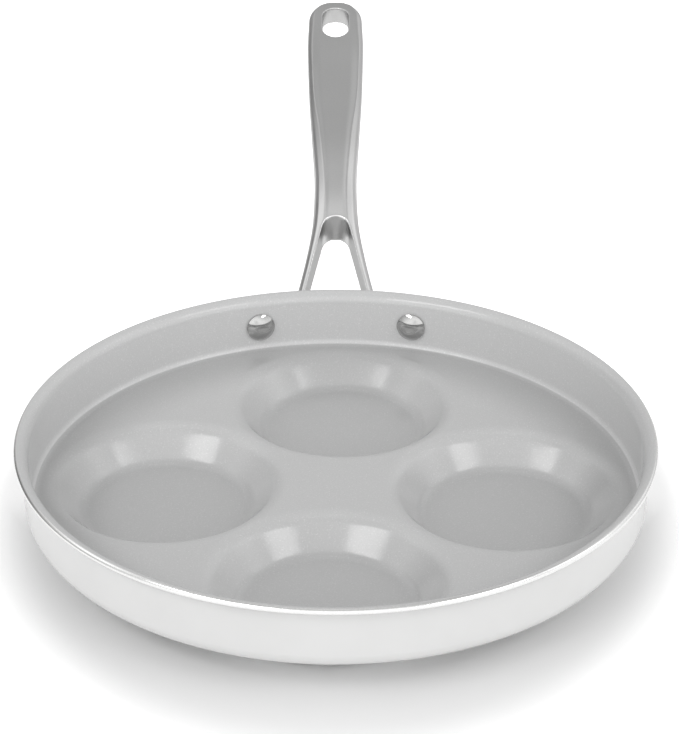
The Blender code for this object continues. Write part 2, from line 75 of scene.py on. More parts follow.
class Board:
    """Adds nodes to a tree and wires them, so that a tree reads as a list of steps."""

    def __init__(self, tree: bpy.types.NodeTree) -> None:
        """Keep the tree that the nodes go into."""
        self.tree = tree

    def add(self, kind: str, inputs: dict[Any, Any] | None = None,
            **settings: Any) -> bpy.types.Node:
        """Add one node.

        Args:
            kind: The node's type name.
            inputs: Socket names or numbers, each with a value or with another node's output.
            settings: Properties of the node itself.

        Returns:
            The new node.
        """
        node = self.tree.nodes.new(kind)
        for name, value in settings.items():
            setattr(node, name, value)
        self.wire(node, inputs or {})
        return node

    def wire(self, node: bpy.types.Node, inputs: dict[Any, Any]) -> None:
        """Set a node's inputs.

        Args:
            node: The node.
            inputs: Socket names or numbers, each with a value or with another node's output.
        """
        for name, value in inputs.items():
            if isinstance(value, bpy.types.NodeSocket):
                self.tree.links.new(value, node.inputs[name])
            else:
                node.inputs[name].default_value = value

    def math(self, operation: str, *values: Any) -> bpy.types.NodeSocket:
        """Add a Math node.

        Args:
            operation: The operation's name.
            values: One to three numbers or outputs.

        Returns:
            The result's socket.
        """
        return self.add("ShaderNodeMath", dict(enumerate(values)), operation=operation).outputs[0]

    def vector_math(self, operation: str, *values: Any) -> bpy.types.Node:
        """Add a Vector Math node on one or two vectors, and return the node."""
        return self.add("ShaderNodeVectorMath", dict(enumerate(values)), operation=operation)

    def vector(self, **parts: Any) -> bpy.types.NodeSocket:
        """Join numbers or outputs, named X, Y and Z, into a vector."""
        return self.add("ShaderNodeCombineXYZ", parts).outputs[0]

    def part(self, vector: bpy.types.NodeSocket, axis: str) -> bpy.types.NodeSocket:
        """Return a vector's X, Y or Z."""
        return self.add("ShaderNodeSeparateXYZ", {"Vector": vector}).outputs[axis]

    def coordinates(self, kind: str) -> bpy.types.NodeSocket:
        """Return the texture coordinates of one kind, such as Object."""
        return self.add("ShaderNodeTexCoord").outputs[kind]


def new_material(name: str) -> tuple[bpy.types.Material, Board, bpy.types.Node]:
    """Make an empty material.

    Args:
        name: The material's name.

    Returns:
        The material, the board of its tree, and its Principled shader.
    """
    material = bpy.data.materials.new(name)
    material.use_nodes = True
    return material, Board(material.node_tree), material.node_tree.nodes["Principled BSDF"]


def object_noise(board: Board, scale: float, detail: float = 2.0,
                 stretch: Sequence[float] = (1.0, 1.0, 1.0)) -> bpy.types.NodeSocket:
    """Add a noise pattern on object coordinates.

    Args:
        board: The tree to add to.
        scale: Waves for each metre.
        detail: Finer layers of the noise.
        stretch: How much the pattern is squeezed along each axis.

    Returns:
        The noise's value, about 0.5 on average.
    """
    mapped = board.add("ShaderNodeMapping", {
        "Vector": board.coordinates("Object"), "Scale": tuple(stretch),
    })
    noise = board.add("ShaderNodeTexNoise", {
        "Vector": mapped.outputs["Vector"], "Scale": scale, "Detail": detail,
    })
    return noise.outputs["Fac"]


def ramp(board: Board, value: bpy.types.NodeSocket,
         stops: Sequence[tuple[float, Sequence[float]]]) -> bpy.types.NodeSocket:
    """Map a value to colours.

    Args:
        board: The tree to add to.
        value: The value from 0 to 1.
        stops: Positions and their linear colours.

    Returns:
        The colour's socket.
    """
    node = board.add("ShaderNodeValToRGB", {"Fac": value})
    elements = node.color_ramp.elements
    while len(elements) < len(stops):
        elements.new(1.0)
    for element, (position, colour) in zip(elements, stops):
        element.position = position
        element.color = (*colour, 1.0)
    return node.outputs["Color"]


def stretch_range(board: Board, value: bpy.types.NodeSocket, low: float, high: float,
                  to_low: float, to_high: float) -> bpy.types.NodeSocket:
    """Map a value from one range to another, easing into both ends of the new range.

    Args:
        board: The tree to add to.
        value: The value.
        low: Where the old range starts.
        high: Where it ends.
        to_low: Where the new range starts.
        to_high: Where it ends.

    Returns:
        The new value.
    """
    node = board.add("ShaderNodeMapRange", {
        "Value": value, "From Min": low, "From Max": high, "To Min": to_low, "To Max": to_high,
    }, interpolation_type="SMOOTHSTEP")
    return node.outputs["Result"]


def bump(board: Board, height: bpy.types.NodeSocket, distance: float,
         under: bpy.types.NodeSocket | None = None) -> bpy.types.NodeSocket:
    """Turn a height pattern into a normal.

    Args:
        board: The tree to add to.
        height: The pattern, from 0 to 1.
        distance: The real height of the pattern.
        under: The normal that the pattern lies on, or None for the bare surface.

    Returns:
        The normal's socket.
    """
    inputs = {"Height": height, "Distance": distance}
    if under is not None:
        inputs["Normal"] = under
    return board.add("ShaderNodeBump", inputs).outputs["Normal"]


def uneven(board: Board, noise: bpy.types.NodeSocket, low: float,
           high: float) -> bpy.types.NodeSocket:
    """Map a noise to values that drift between low and high."""
    return stretch_range(board, noise, *NOISE_RANGE, low, high)


def two_tone(board: Board, noise: bpy.types.NodeSocket, dark: Sequence[float],
             pale: Sequence[float]) -> bpy.types.NodeSocket:
    """Colour a noise dark in its hollows and pale on its tops."""
    return ramp(board, noise, tuple(zip(GRAIN_RANGE, (dark, pale))))


def dulled(colour: Sequence[float], share: float) -> tuple[float, ...]:
    """Return a share of a colour."""
    return tuple(share * channel for channel in colour)


# Finishes


@dataclass(frozen=True)
class CeramicCoating:
    """Grey sprayed ceramic, semi-glossy, with fine lighter and darker flecks.

    Its colour carries painted shade, darker in the cups' bottoms and on the floor by the wall, and
    painted light, paler on the wall. The bands of the cups and of the wall are heights, and the
    corner's band is a distance from the pan's axis.
    """

    colour: tuple[float, float, float] = (0.510, 0.511, 0.511)
    pale_fleck: tuple[float, float, float] = (0.60, 0.60, 0.60)
    dark_fleck: tuple[float, float, float] = (0.485, 0.486, 0.486)
    fleck_stops: tuple[float, float, float, float] = (0.30, 0.44, 0.58, 0.72)
    # Painted shade and light: the cups' bottoms and the floor by the wall are darkened, and the
    # wall is lightened
    cup_painted_shade: float = 0.865
    cup_painted_shade_band: tuple[float, float] = (0.003, 0.0056)
    corner_painted_shade: float = 0.80
    corner_painted_shade_band: tuple[float, float] = (0.090, 0.119)
    wall_foot: tuple[float, float] = (0.0161, 0.0172)
    wall_painted_light: float = 1.15
    wall_top: tuple[float, float] = (0.036, 0.041)
    wear_scale: float = 38.0
    roughness: tuple[float, float] = (0.39, 0.46)
    coat: float = 1.0
    coat_roughness: float = 0.12
    fleck_scale: float = 1700.0
    orange_peel_scale: float = 420.0
    orange_peel_height: float = 0.000012
    grain_height: float = 0.000025

    def shade(self, board: Board) -> bpy.types.NodeSocket:
        """Add painted shade to the cups' bottoms and to the floor by the wall, and painted light to
        the wall.

        Args:
            board: The material's board.

        Returns:
            The share of the colour at each place.
        """
        place = board.coordinates("Object")
        height = board.part(place, "Z")
        # Painted shade darkens the cups' bottoms
        cup_shade_share = stretch_range(board, height, *self.cup_painted_shade_band, self.cup_painted_shade, 1.0)
        centre = board.vector(Y=PanSizes.axis_y, Z=height)
        reach = board.vector_math("DISTANCE", place, centre).outputs["Value"]
        # Painted shade darkens the floor by the wall
        corner = stretch_range(board, reach, *self.corner_painted_shade_band, 1.0, self.corner_painted_shade)
        # Painted light brightens the wall between its foot and its top
        risen = stretch_range(board, height, *self.wall_foot, 0.0, self.wall_painted_light)
        ending = stretch_range(board, height, *self.wall_top, self.wall_painted_light, 1.0)
        wall_and_corner_shade_share = board.math("MINIMUM", board.math("MAXIMUM", corner, risen), ending)
        return board.math("MULTIPLY", cup_shade_share, wall_and_corner_shade_share)

    def make(self) -> bpy.types.Material:
        """Build the material and return it."""
        material, board, shader = new_material("grey_ceramic_coating")
        flecks = object_noise(board, self.fleck_scale, detail=2.0)
        peel = object_noise(board, self.orange_peel_scale, detail=1.0)
        wear = object_noise(board, self.wear_scale, detail=3.0)
        colours = (self.dark_fleck, self.colour, self.colour, self.pale_fleck)
        colour = ramp(board, flecks, tuple(zip(self.fleck_stops, colours)))
        grain = bump(board, flecks, self.grain_height)
        normal = bump(board, peel, self.orange_peel_height, grain)
        board.wire(shader, {
            # The base colour carries the painted shade and painted light
            "Base Color": board.vector_math("MULTIPLY", colour, self.shade(board)).outputs[0],
            "Roughness": uneven(board, wear, *self.roughness),
            "Normal": normal,
            "Coat Normal": normal,
            "Coat Weight": self.coat,
            "Coat Roughness": self.coat_roughness,
        })
        return material


@dataclass(frozen=True)
class WhiteEnamel:
    """Glossy white enamel with a very slight orange peel, a little darker where it is thin."""

    colour: tuple[float, float, float] = (0.69, 0.69, 0.687)
    shade: tuple[float, float, float] = (0.665, 0.665, 0.662)
    cloud_scale: float = 30.0
    roughness: tuple[float, float] = (0.19, 0.25)
    coat: float = 0.5
    coat_roughness: float = 0.08
    peel_scale: float = 260.0
    peel_height: float = 0.000008

    def make(self) -> bpy.types.Material:
        """Build the material and return it."""
        material, board, shader = new_material("white_enamel")
        cloud = object_noise(board, self.cloud_scale, detail=3.0)
        peel = object_noise(board, self.peel_scale, detail=2.0)
        normal = bump(board, peel, self.peel_height)
        board.wire(shader, {
            "Base Color": two_tone(board, cloud, self.shade, self.colour),
            "Roughness": uneven(board, cloud, *self.roughness),
            "Normal": normal,
            "Coat Normal": normal,
            "Coat Weight": self.coat,
            "Coat Roughness": self.coat_roughness,
        })
        return material


@dataclass(frozen=True)
class Metal:
    """A bare metal, with grain that can run along one axis.

    grain_stretch squeezes the grain along X, Y and Z, so a small number makes long scratches there.
    """

    name: str
    colour: tuple[float, float, float]
    roughness: float
    roughness_spread: float
    grain_scale: float
    grain_height: float
    grain_stretch: tuple[float, float, float] = (1.0, 1.0, 1.0)
    anisotropy: float = 0.0
    cloud_scale: float = 60.0
    dull_share: float = 0.93

    def make(self) -> bpy.types.Material:
        """Build the material and return it."""
        material, board, shader = new_material(self.name)
        grain = object_noise(board, self.grain_scale, detail=3.0, stretch=self.grain_stretch)
        cloud = object_noise(board, self.cloud_scale, detail=3.0)
        low, high = self.roughness - self.roughness_spread, self.roughness + self.roughness_spread
        dull = dulled(self.colour, self.dull_share)
        board.wire(shader, {
            "Base Color": two_tone(board, grain, dull, self.colour),
            "Roughness": uneven(board, cloud, low, high),
            "Normal": bump(board, grain, self.grain_height),
            "Metallic": 1.0,
            "Anisotropic": self.anisotropy,
        })
        return material


@dataclass(frozen=True)
class CastSteel:
    """Stainless casting: bead-blasted satin on the grip, polished towards the arms.

    The bands are places along the handle. The polish turns to satin over polish_band, and the
    arms' darker reflection at grazing angles ends over arms_band.
    """

    colour: tuple[float, float, float] = (0.70, 0.70, 0.697)
    dull_share: float = 0.94
    satin_shade: float = 0.84
    satin_roughness: float = 0.34
    polished_roughness: float = 0.30
    satin_edge: float = 0.80
    polished_edge: float = 0.42
    polish_band: tuple[float, float] = (0.095, 0.125)
    arms_band: tuple[float, float] = (0.062, 0.095)
    unevenness: float = 0.02
    cloud_scale: float = 70.0
    grain_scale: float = 2600.0
    grain_height: float = 0.000006

    def make(self) -> bpy.types.Material:
        """Build the material and return it."""
        material, board, shader = new_material("cast_steel")
        grain = object_noise(board, self.grain_scale, detail=2.0)
        cloud = object_noise(board, self.cloud_scale, detail=3.0)
        along = board.part(board.coordinates("Object"), "Y")
        colour = two_tone(board, grain, dulled(self.colour, self.dull_share), self.colour)
        shade = stretch_range(board, along, *self.polish_band, 1.0, self.satin_shade)
        even = stretch_range(board, along, *self.polish_band, self.polished_roughness,
                             self.satin_roughness)
        drift = uneven(board, cloud, -self.unevenness, self.unevenness)
        edge = stretch_range(board, along, *self.arms_band, self.polished_edge, self.satin_edge)
        board.wire(shader, {
            "Base Color": board.vector_math("MULTIPLY", colour, shade).outputs[0],
            "Roughness": board.math("ADD", even, drift),
            "Specular Tint": edge,
            "Normal": bump(board, grain, self.grain_height),
            "Metallic": 1.0,
        })
        return material


GROUND_ALUMINIUM = Metal(
    "ground_aluminium", colour=(0.84, 0.84, 0.835), roughness=0.17, roughness_spread=0.03,
    grain_scale=1500.0, grain_height=0.000004,
)
RIVET_STEEL = Metal(
    "rivet_steel", colour=(0.50, 0.50, 0.495), roughness=0.10, roughness_spread=0.02,
    grain_scale=1800.0, grain_height=0.000006,
)
DISC_STEEL = Metal(
    "magnetic_sheet_steel", colour=(0.55, 0.55, 0.545), roughness=0.30, roughness_spread=0.05,
    grain_scale=900.0, grain_height=0.000004, grain_stretch=(0.06, 1.0, 1.0), anisotropy=0.4,
)
STUD_ALUMINIUM = Metal(
    "pressed_stud_aluminium", colour=(0.80, 0.80, 0.795), roughness=0.38, roughness_spread=0.05,
    grain_scale=1400.0, grain_height=0.000006,
)


# Geometry helpers


class Tree(Board):
    """A Geometry Nodes tree with named inputs."""

    def __init__(self, name: str, sizes: dict[str, float | int]) -> None:
        """Make the tree.

        Args:
            name: The tree's name.
            sizes: Its inputs' names, each with its default value.
        """
        super().__init__(bpy.data.node_groups.new(name, "GeometryNodeTree"))
        interface = self.tree.interface
        interface.new_socket("Geometry", in_out="OUTPUT", socket_type="NodeSocketGeometry")
        interface.new_socket("Geometry", in_out="INPUT", socket_type="NodeSocketGeometry")
        for size, value in sizes.items():
            kind = "NodeSocketInt" if isinstance(value, int) else "NodeSocketFloat"
            interface.new_socket(size, in_out="INPUT", socket_type=kind).default_value = value
        self.given = self.add("NodeGroupInput").outputs
        self.sizes = sizes

    def finish(self, geometry: bpy.types.NodeSocket,
               materials: Sequence[tuple[bpy.types.Material, bpy.types.NodeSocket | None]]) -> None:
        """Realize the instances, put the materials on and wire the tree's output.

        Args:
            geometry: What the tree has made.
            materials: Each material, and the selection that it goes on or None for all.
        """
        geometry = self.add("GeometryNodeRealizeInstances", {"Geometry": geometry}).outputs[0]
        for material, selection in materials:
            inputs = {"Geometry": geometry, "Material": material}
            if selection is not None:
                inputs["Selection"] = selection
            geometry = self.add("GeometryNodeSetMaterial", inputs).outputs[0]
        self.add("NodeGroupOutput", {"Geometry": geometry})

    def smooth(self, geometry: bpy.types.NodeSocket) -> bpy.types.NodeSocket:
        """Shade a mesh smooth, but for its edges above SHARP_ANGLE.

        Args:
            geometry: The mesh.

        Returns:
            The shaded mesh.
        """
        faces = self.add("GeometryNodeSetShadeSmooth", {"Geometry": geometry}, domain="FACE")
        angle = self.add("GeometryNodeInputMeshEdgeAngle").outputs["Unsigned Angle"]
        sharp = self.math("GREATER_THAN", angle, SHARP_ANGLE)
        edges = self.add("GeometryNodeSetShadeSmooth", {
            "Geometry": faces.outputs[0], "Selection": sharp, "Shade Smooth": False,
        }, domain="EDGE")
        return edges.outputs[0]

    def turned(self, profile: bpy.types.NodeSocket, turns: bpy.types.NodeSocket,
               weld: bpy.types.NodeSocket) -> bpy.types.NodeSocket:
        """Turn a profile of edges about Z.

        Args:
            profile: The profile's mesh, with the radius along X.
            turns: The number of segments round the axis.
            weld: The distance within which the seam and the poles are welded.

        Returns:
            The turned mesh.
        """
        size = self.add("GeometryNodeAttributeDomainSize", {"Geometry": profile})
        points = size.outputs["Point Count"]
        grid = self.add("GeometryNodeMeshGrid", {
            "Vertices X": self.math("ADD", turns, 1.0), "Vertices Y": points,
        })
        index = self.add("GeometryNodeInputIndex").outputs[0]
        column = self.math("FLOOR", self.math("DIVIDE", self.math("ADD", index, 0.5), points))
        row = self.math("SUBTRACT", index, self.math("MULTIPLY", column, points))
        place = self.add("GeometryNodeInputPosition").outputs[0]
        sample = self.add("GeometryNodeSampleIndex", {
            "Geometry": profile, "Value": place, "Index": row,
        }, data_type="FLOAT_VECTOR", domain="POINT").outputs[0]
        angle = self.math("MULTIPLY", self.math("DIVIDE", column, turns), 2 * math.pi)
        spun = self.add("ShaderNodeVectorRotate", {
            "Vector": sample, "Angle": angle,
        }, rotation_type="Z_AXIS").outputs[0]
        skin = self.add("GeometryNodeSetPosition", {
            "Geometry": grid.outputs["Mesh"], "Position": spun,
        }).outputs[0]
        return self.add("GeometryNodeMergeByDistance", {
            "Geometry": skin, "Distance": weld,
        }).outputs[0]

    def copies(self, count: Any, place: bpy.types.NodeSocket, mesh: bpy.types.NodeSocket,
               turn: bpy.types.NodeSocket | None = None) -> bpy.types.NodeSocket:
        """Set copies of a mesh on new points.

        Args:
            count: The number of points.
            place: Where each point lies.
            mesh: What is copied.
            turn: Each copy's angles about X, Y and Z, or None for no turn.

        Returns:
            The copies, realized.
        """
        points = self.add("GeometryNodePoints", {"Count": count, "Position": place})
        inputs = {"Points": points.outputs[0], "Instance": mesh}
        if turn is not None:
            rotation = self.add("FunctionNodeEulerToRotation", {"Euler": turn})
            inputs["Rotation"] = rotation.outputs[0]
        copies = self.add("GeometryNodeInstanceOnPoints", inputs)
        return self.add("GeometryNodeRealizeInstances", {"Geometry": copies.outputs[0]}).outputs[0]


def settle(item: bpy.types.Object) -> bpy.types.Object:
    """Turn an object's modifiers into a plain mesh and remove them.

    Args:
        item: The object with its modifiers.

    Returns:
        The same object, with the new mesh.
    """
    graph = bpy.context.evaluated_depsgraph_get()
    mesh = bpy.data.meshes.new_from_object(item.evaluated_get(graph))
    mesh.name = item.name
    item.modifiers.clear()
    item.data = mesh
    return item


def grow(item: bpy.types.Object, tree: Tree) -> bpy.types.Object:
    """Run a tree on an object with the tree's own sizes, and settle it.

    Args:
        item: The object whose mesh goes in.
        tree: The tree.

    Returns:
        The same object, with the mesh that the tree makes.
    """
    modifier = item.modifiers.new(tree.tree.name, "NODES")
    modifier.node_group = tree.tree
    for socket in tree.tree.interface.items_tree:
        if socket.in_out == "INPUT" and socket.name in tree.sizes:
            modifier[socket.identifier] = tree.sizes[socket.name]
    return settle(item)


def mesh_object(name: str, vertices: Sequence[Any], faces: Sequence[Sequence[int]],
                edges: Sequence[Sequence[int]] = ()) -> bpy.types.Object:
    """Link a new object with a mesh.

    Args:
        name: The name of the object and its mesh.
        vertices: The vertices' places.
        faces: The vertex numbers of each face.
        edges: The vertex numbers of each edge that has no face.

    Returns:
        The object.
    """
    mesh = bpy.data.meshes.new(name)
    mesh.from_pydata([tuple(map(float, point)) for point in vertices], edges, faces)
    item = bpy.data.objects.new(name, mesh)
    bpy.context.scene.collection.objects.link(item)
    return item


def arc(centre: tuple[float, float], radius: float, start: float, end: float,
        steps: int) -> list[tuple[float, float]]:
    """Return points on an arc.

    Args:
        centre: The arc's centre.
        radius: Its radius.
        start: The first angle, from +X towards the second axis.
        end: The last angle.
        steps: The number of segments.

    Returns:
        The points, both ends among them.
    """
    angles = [start + (end - start) * step / steps for step in range(steps + 1)]
    return [(centre[0] + radius * math.cos(a), centre[1] + radius * math.sin(a)) for a in angles]


def inner_steps(start: float, end: float, steps: int) -> list[float]:
    """Return the values between two ends in equal steps, without the ends."""
    return [start + (end - start) * step / steps for step in range(1, steps)]


def slot_outline(half_span: float, radius: float) -> list[tuple[float, float]]:
    """Return the outline of a slot with round ends, centred on its origin along X."""
    quarter = math.pi / 2
    return (arc((half_span, 0.0), radius, -quarter, quarter, SLOT_STEPS)
            + arc((-half_span, 0.0), radius, quarter, 3 * quarter, SLOT_STEPS))


def profile_object(name: str, points: Sequence[tuple[float, float]]) -> bpy.types.Object:
    """Return an object whose mesh is a profile of radius and height, as a string of edges."""
    vertices = [(radius, 0.0, height) for radius, height in points]
    return mesh_object(name, vertices, (), [(i, i + 1) for i in range(len(points) - 1)])


def ring_faces(count: int, near: int, far: int) -> list[tuple[int, ...]]:
    """Return the quads between two closed rings of vertices.

    Args:
        count: The number of vertices in a ring.
        near: The number of the first ring's first vertex.
        far: The number of the second ring's first vertex.

    Returns:
        The quads' vertex numbers.
    """
    quads = []
    for i in range(count):
        j = (i + 1) % count
        quads.append((near + i, near + j, far + j, far + i))
    return quads


def prism(name: str, outline: Sequence[tuple[float, float]], half_length: float,
          place: Matrix) -> bpy.types.Object:
    """Build a straight prism.

    Args:
        name: The object's name.
        outline: Its outline in its own XY plane.
        half_length: How far it reaches along its own Z, both ways.
        place: Where it goes.

    Returns:
        The prism.
    """
    count = len(outline)
    vertices = [place @ Vector((x, y, z)) for z in (-half_length, half_length) for x, y in outline]
    faces: list[tuple[int, ...]] = [tuple(reversed(range(count))), tuple(range(count, 2 * count))]
    item = mesh_object(name, vertices, faces + ring_faces(count, 0, count))
    turn_outwards(item.data)
    return item


def turn_outwards(mesh: bpy.types.Mesh) -> None:
    """Turn all faces of a closed mesh outwards.

    Args:
        mesh: The mesh that is changed.
    """
    work = bmesh.new()
    work.from_mesh(mesh)
    bmesh.ops.recalc_face_normals(work, faces=work.faces)
    work.to_mesh(mesh)
    work.free()


def combine(item: bpy.types.Object, other: bpy.types.Object, operation: str) -> bpy.types.Object:
    """Run an exact Boolean of one object with another, and delete the other.

    Args:
        item: The object that is changed.
        other: What it is cut by or joined with.
        operation: UNION, DIFFERENCE or INTERSECT.

    Returns:
        The changed object.
    """
    boolean = item.modifiers.new(operation.title(), "BOOLEAN")
    boolean.solver = "EXACT"
    boolean.operation = operation
    boolean.object = other
    settle(item)
    bpy.data.objects.remove(other, do_unlink=True)
    return item


def hand_over(item: bpy.types.Object, slot: str, *nodes: str) -> None:
    """Give a finished piece to the frame.

    Args:
        item: The piece.
        slot: The name of a material slot in the record; not used.
        nodes: The CAD nodes that it stands for.
    """
    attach(item, ROOT_BODY)
    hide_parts(*nodes)
    item.data.calc_loop_triangles()
    LOG.info("%s: %d triangles", item.name, len(item.data.loop_triangles))


# Pan sizes shared by its sub-assemblies


@dataclass(frozen=True)
class PanSizes:
    """The places that the body, the rivets, the discs and the handle share."""

    axis_y: float = -0.0959
    wall_inner_radius: float = 0.1244
    wall_outer_radius: float = 0.1268
    plate_inner_radius: float = 0.1271
    plate_outer_radius: float = 0.1303
    rim_z: float = 0.042
    rivet_z: float = 0.0276
    rivet_spacing: float = 0.069
    cup_count: int = 4
    cup_turn: float = math.radians(-2.5)
    cup_pitch_radius: float = 0.070031
    cup_flat_radius: float = 0.031869
    disc_radius: float = 0.028869

    @property
    def rivet_angle(self) -> float:
        """Return each rivet's angle from +Y, about the pan's axis."""
        return math.asin(self.rivet_spacing / 2 / self.wall_inner_radius)


class SectorSkin:
    """The vertices and faces of one sector, added ring by ring, with each face's finish."""

    def __init__(self) -> None:
        """Start with nothing."""
        self.vertices: list[tuple[float, float, float]] = []
        self.faces: list[tuple[int, ...]] = []
        self.finishes: list[int] = []

    def add_ring(self, x: np.ndarray, y: np.ndarray, z: np.ndarray) -> list[int]:
        """Add one ring of vertices at the given places and return their numbers."""
        self.vertices.extend(zip(x, y, z))
        return list(range(len(self.vertices) - len(x), len(self.vertices)))

    def add_face(self, corners: tuple[int, ...], finish: Surface) -> None:
        """Add one face with its finish."""
        self.faces.append(corners)
        self.finishes.append(finish.value)

    def join(self, near: list[int], far: list[int], closed: bool, finish: Surface) -> None:
        """Join two rings with quads.

        Args:
            near: The first ring's vertex numbers.
            far: The second ring's.
            closed: Whether the rings' last vertices are joined to their first.
            finish: The quads' finish.
        """
        count = len(near)
        for i in range(count if closed else count - 1):
            j = (i + 1) % count
            self.add_face((near[i], far[i], far[j], near[j]), finish)

    def add_cap(self, ring: list[int], centre: tuple[float, float, float], upwards: bool,
                finish: Surface) -> None:
        """Close a ring with a fan.

        Args:
            ring: The ring's vertex numbers.
            centre: Where the fan's middle lies.
            upwards: Whether the fan faces up.
            finish: The fan's finish.
        """
        middle = len(self.vertices)
        self.vertices.append(centre)
        for i, near in enumerate(ring):
            far = ring[(i + 1) % len(ring)]
            self.add_face((middle, near, far) if upwards else (middle, far, near), finish)

    def build(self, name: str) -> bpy.types.Object:
        """Build the skin as an object, whose faces carry their finish as an attribute.

        Args:
            name: The object's name.

        Returns:
            The object.
        """
        item = mesh_object(name, self.vertices, self.faces)
        attribute = item.data.attributes.new("finish", "INT", "FACE")
        attribute.data.foreach_set("value", self.finishes)
        return item


@dataclass
class PanBody:
    """The pressed body: cups, floor, wall and lip, as one closed skin.

    One sector with one cup is laid out in code, ray by ray about the cup, and a node tree turns
    it round the pan's axis once for each cup and welds the seams. edge_shares and flat_shares
    place the rings between a mouth and the sector's edge and on a cup's flat, and bevel_shares
    are shares of the lip's bevel, outwards and down.
    """

    sizes: PanSizes
    rim_radius: float = 0.130
    floor_z: float = 0.016
    floor_thickness: float = 0.003
    wall_thickness: float = 0.0024
    inner_corner: float = 0.0035
    outer_corner: float = 0.007
    lip_radius: float = 0.005
    lip_land: float = 0.0006
    lip_bevel: float = 0.0012
    cup_depth: float = 0.0135
    cup_mouth_radius: float = 0.050869
    mouth_round: float = 0.0095
    foot_round: float = 0.0062
    cup_wall: float = 0.0025
    disc_recess: float = 0.0011
    disc_gap: float = 0.0003
    underside_blend: float = 0.0005
    rim_rays: int = 96
    side_rays: int = 44
    squeeze_power: int = 4
    edge_shares: tuple[float, ...] = (0.12, 0.35, 0.65, 1.0)
    flat_shares: tuple[float, ...] = (0.06, 0.35, 0.7, 0.9, 1.0)
    foot_steps: int = 8
    side_steps: int = 5
    mouth_steps: int = 12
    wall_steps: int = 6
    tight_round_steps: int = 10
    wide_round_steps: int = 14
    land_steps: int = 4
    bevel_shares: tuple[tuple[float, float], ...] = (
        (0.35, 0.18), (0.66, 0.44), (0.88, 0.72), (1.0, 1.0),
    )

    @property
    def side_slope(self) -> float:
        """Return the slope of a cup's side, tangent to both of its rounds."""
        run = self.cup_mouth_radius - self.sizes.cup_flat_radius
        rounds = self.mouth_round + self.foot_round
        drop = self.cup_depth - rounds
        return math.asin(rounds / math.hypot(run, drop)) + math.atan2(drop, run)

    def side_ends(self, offset: float) -> tuple[float, float]:
        """Return where a cup's straight side starts and ends, for the skin at an offset."""
        turn = math.sin(self.side_slope)
        return (self.sizes.cup_flat_radius + (self.foot_round + offset) * turn,
                self.cup_mouth_radius - (self.mouth_round - offset) * turn)

    def cup_height(self, distance: np.ndarray, offset: float) -> np.ndarray:
        """Return the height of a cup's skin.

        Args:
            distance: Distances from the cup's own axis.
            offset: How far outside the cup's inner skin the wanted skin lies.

        Returns:
            The heights, the floor's own height beyond the mouth.
        """
        mouth, foot = self.mouth_round - offset, self.foot_round + offset
        slope, flat = self.side_slope, self.sizes.cup_flat_radius
        bottom = self.floor_z - self.cup_depth - offset
        foot_end, mouth_start = self.side_ends(offset)
        into_foot = np.clip(distance - flat, 0.0, foot * math.sin(slope))
        into_mouth = np.clip(self.cup_mouth_radius - distance, 0.0, mouth * math.sin(slope))
        foot_height = bottom + foot - np.sqrt(foot**2 - into_foot**2)
        mouth_height = self.floor_z - self.mouth_round + np.sqrt(mouth**2 - into_mouth**2)
        side = foot_height + (distance - foot_end) * math.tan(slope)
        return np.where(distance < foot_end, foot_height,
                        np.where(distance < mouth_start, side, mouth_height))

    def neighbour_distances(self, x: np.ndarray, y: np.ndarray) -> list[np.ndarray]:
        """Measure the distances from points of the sector to its own cup and the two beside it.

        Args:
            x: The points' places along the sector's middle line.
            y: Their places across it.

        Returns:
            The distances to each of the three cups.
        """
        step = 2 * math.pi / self.sizes.cup_count
        pitch = self.sizes.cup_pitch_radius
        return [
            np.hypot(x - pitch * math.cos(turn * step), y - pitch * math.sin(turn * step))
            for turn in (0, 1, -1)
        ]

    def inner_height(self, x: np.ndarray, y: np.ndarray) -> np.ndarray:
        """Return the inner floor's height, with neighbouring mouths melted into one saddle."""
        depths = [self.floor_z - self.cup_height(d, 0.0) for d in self.neighbour_distances(x, y)]
        return self.floor_z - np.sqrt(sum(depth**2 for depth in depths))

    def under_height(self, x: np.ndarray, y: np.ndarray) -> np.ndarray:
        """Return the underside's height, with the cups' shells blended into the flat.

        Args:
            x: The points' places along the sector's middle line.
            y: Their places across it.

        Returns:
            The heights.
        """
        flat = self.floor_z - self.floor_thickness
        blend = self.underside_blend
        total = np.zeros_like(x)
        for distance in self.neighbour_distances(x, y):
            drop = flat - self.cup_height(distance, self.cup_wall)
            near = np.clip(1 - np.abs(drop) / blend, 0.0, 1.0)
            total += (np.maximum(drop, 0.0) + near**2 * blend / 4) ** 2
        return flat - np.sqrt(total)

    def rays(self, floor_radius: float) -> tuple[np.ndarray, np.ndarray]:
        """Find where the rays from the cup's axis meet the edge of the sector's floor.

        The first rays end on the round edge, from the right corner to the left; the others end
        on the sector's two straight sides, and pass through the pan's axis on the way.

        Args:
            floor_radius: The radius of the floor's round edge.

        Returns:
            The X and the Y of the rays' ends.
        """
        pitch, half = self.sizes.cup_pitch_radius, math.pi / self.sizes.cup_count
        on_rim = np.linspace(-half, half, self.rim_rays + 1)
        rim = np.stack((floor_radius * np.cos(on_rim), floor_radius * np.sin(on_rim)), axis=1)
        corner = math.atan2(rim[-1, 1], rim[-1, 0] - pitch)
        turn = np.linspace(corner, 2 * math.pi - corner, 2 * self.side_rays + 1)[1:-1]
        side_reach = pitch * math.sin(half) / np.sin(np.where(turn < math.pi, turn - half,
                                                              2 * math.pi - turn - half))
        side = np.stack((pitch + side_reach * np.cos(turn), side_reach * np.sin(turn)), axis=1)
        ends = np.concatenate((rim, side))
        return ends[:, 0], ends[:, 1]

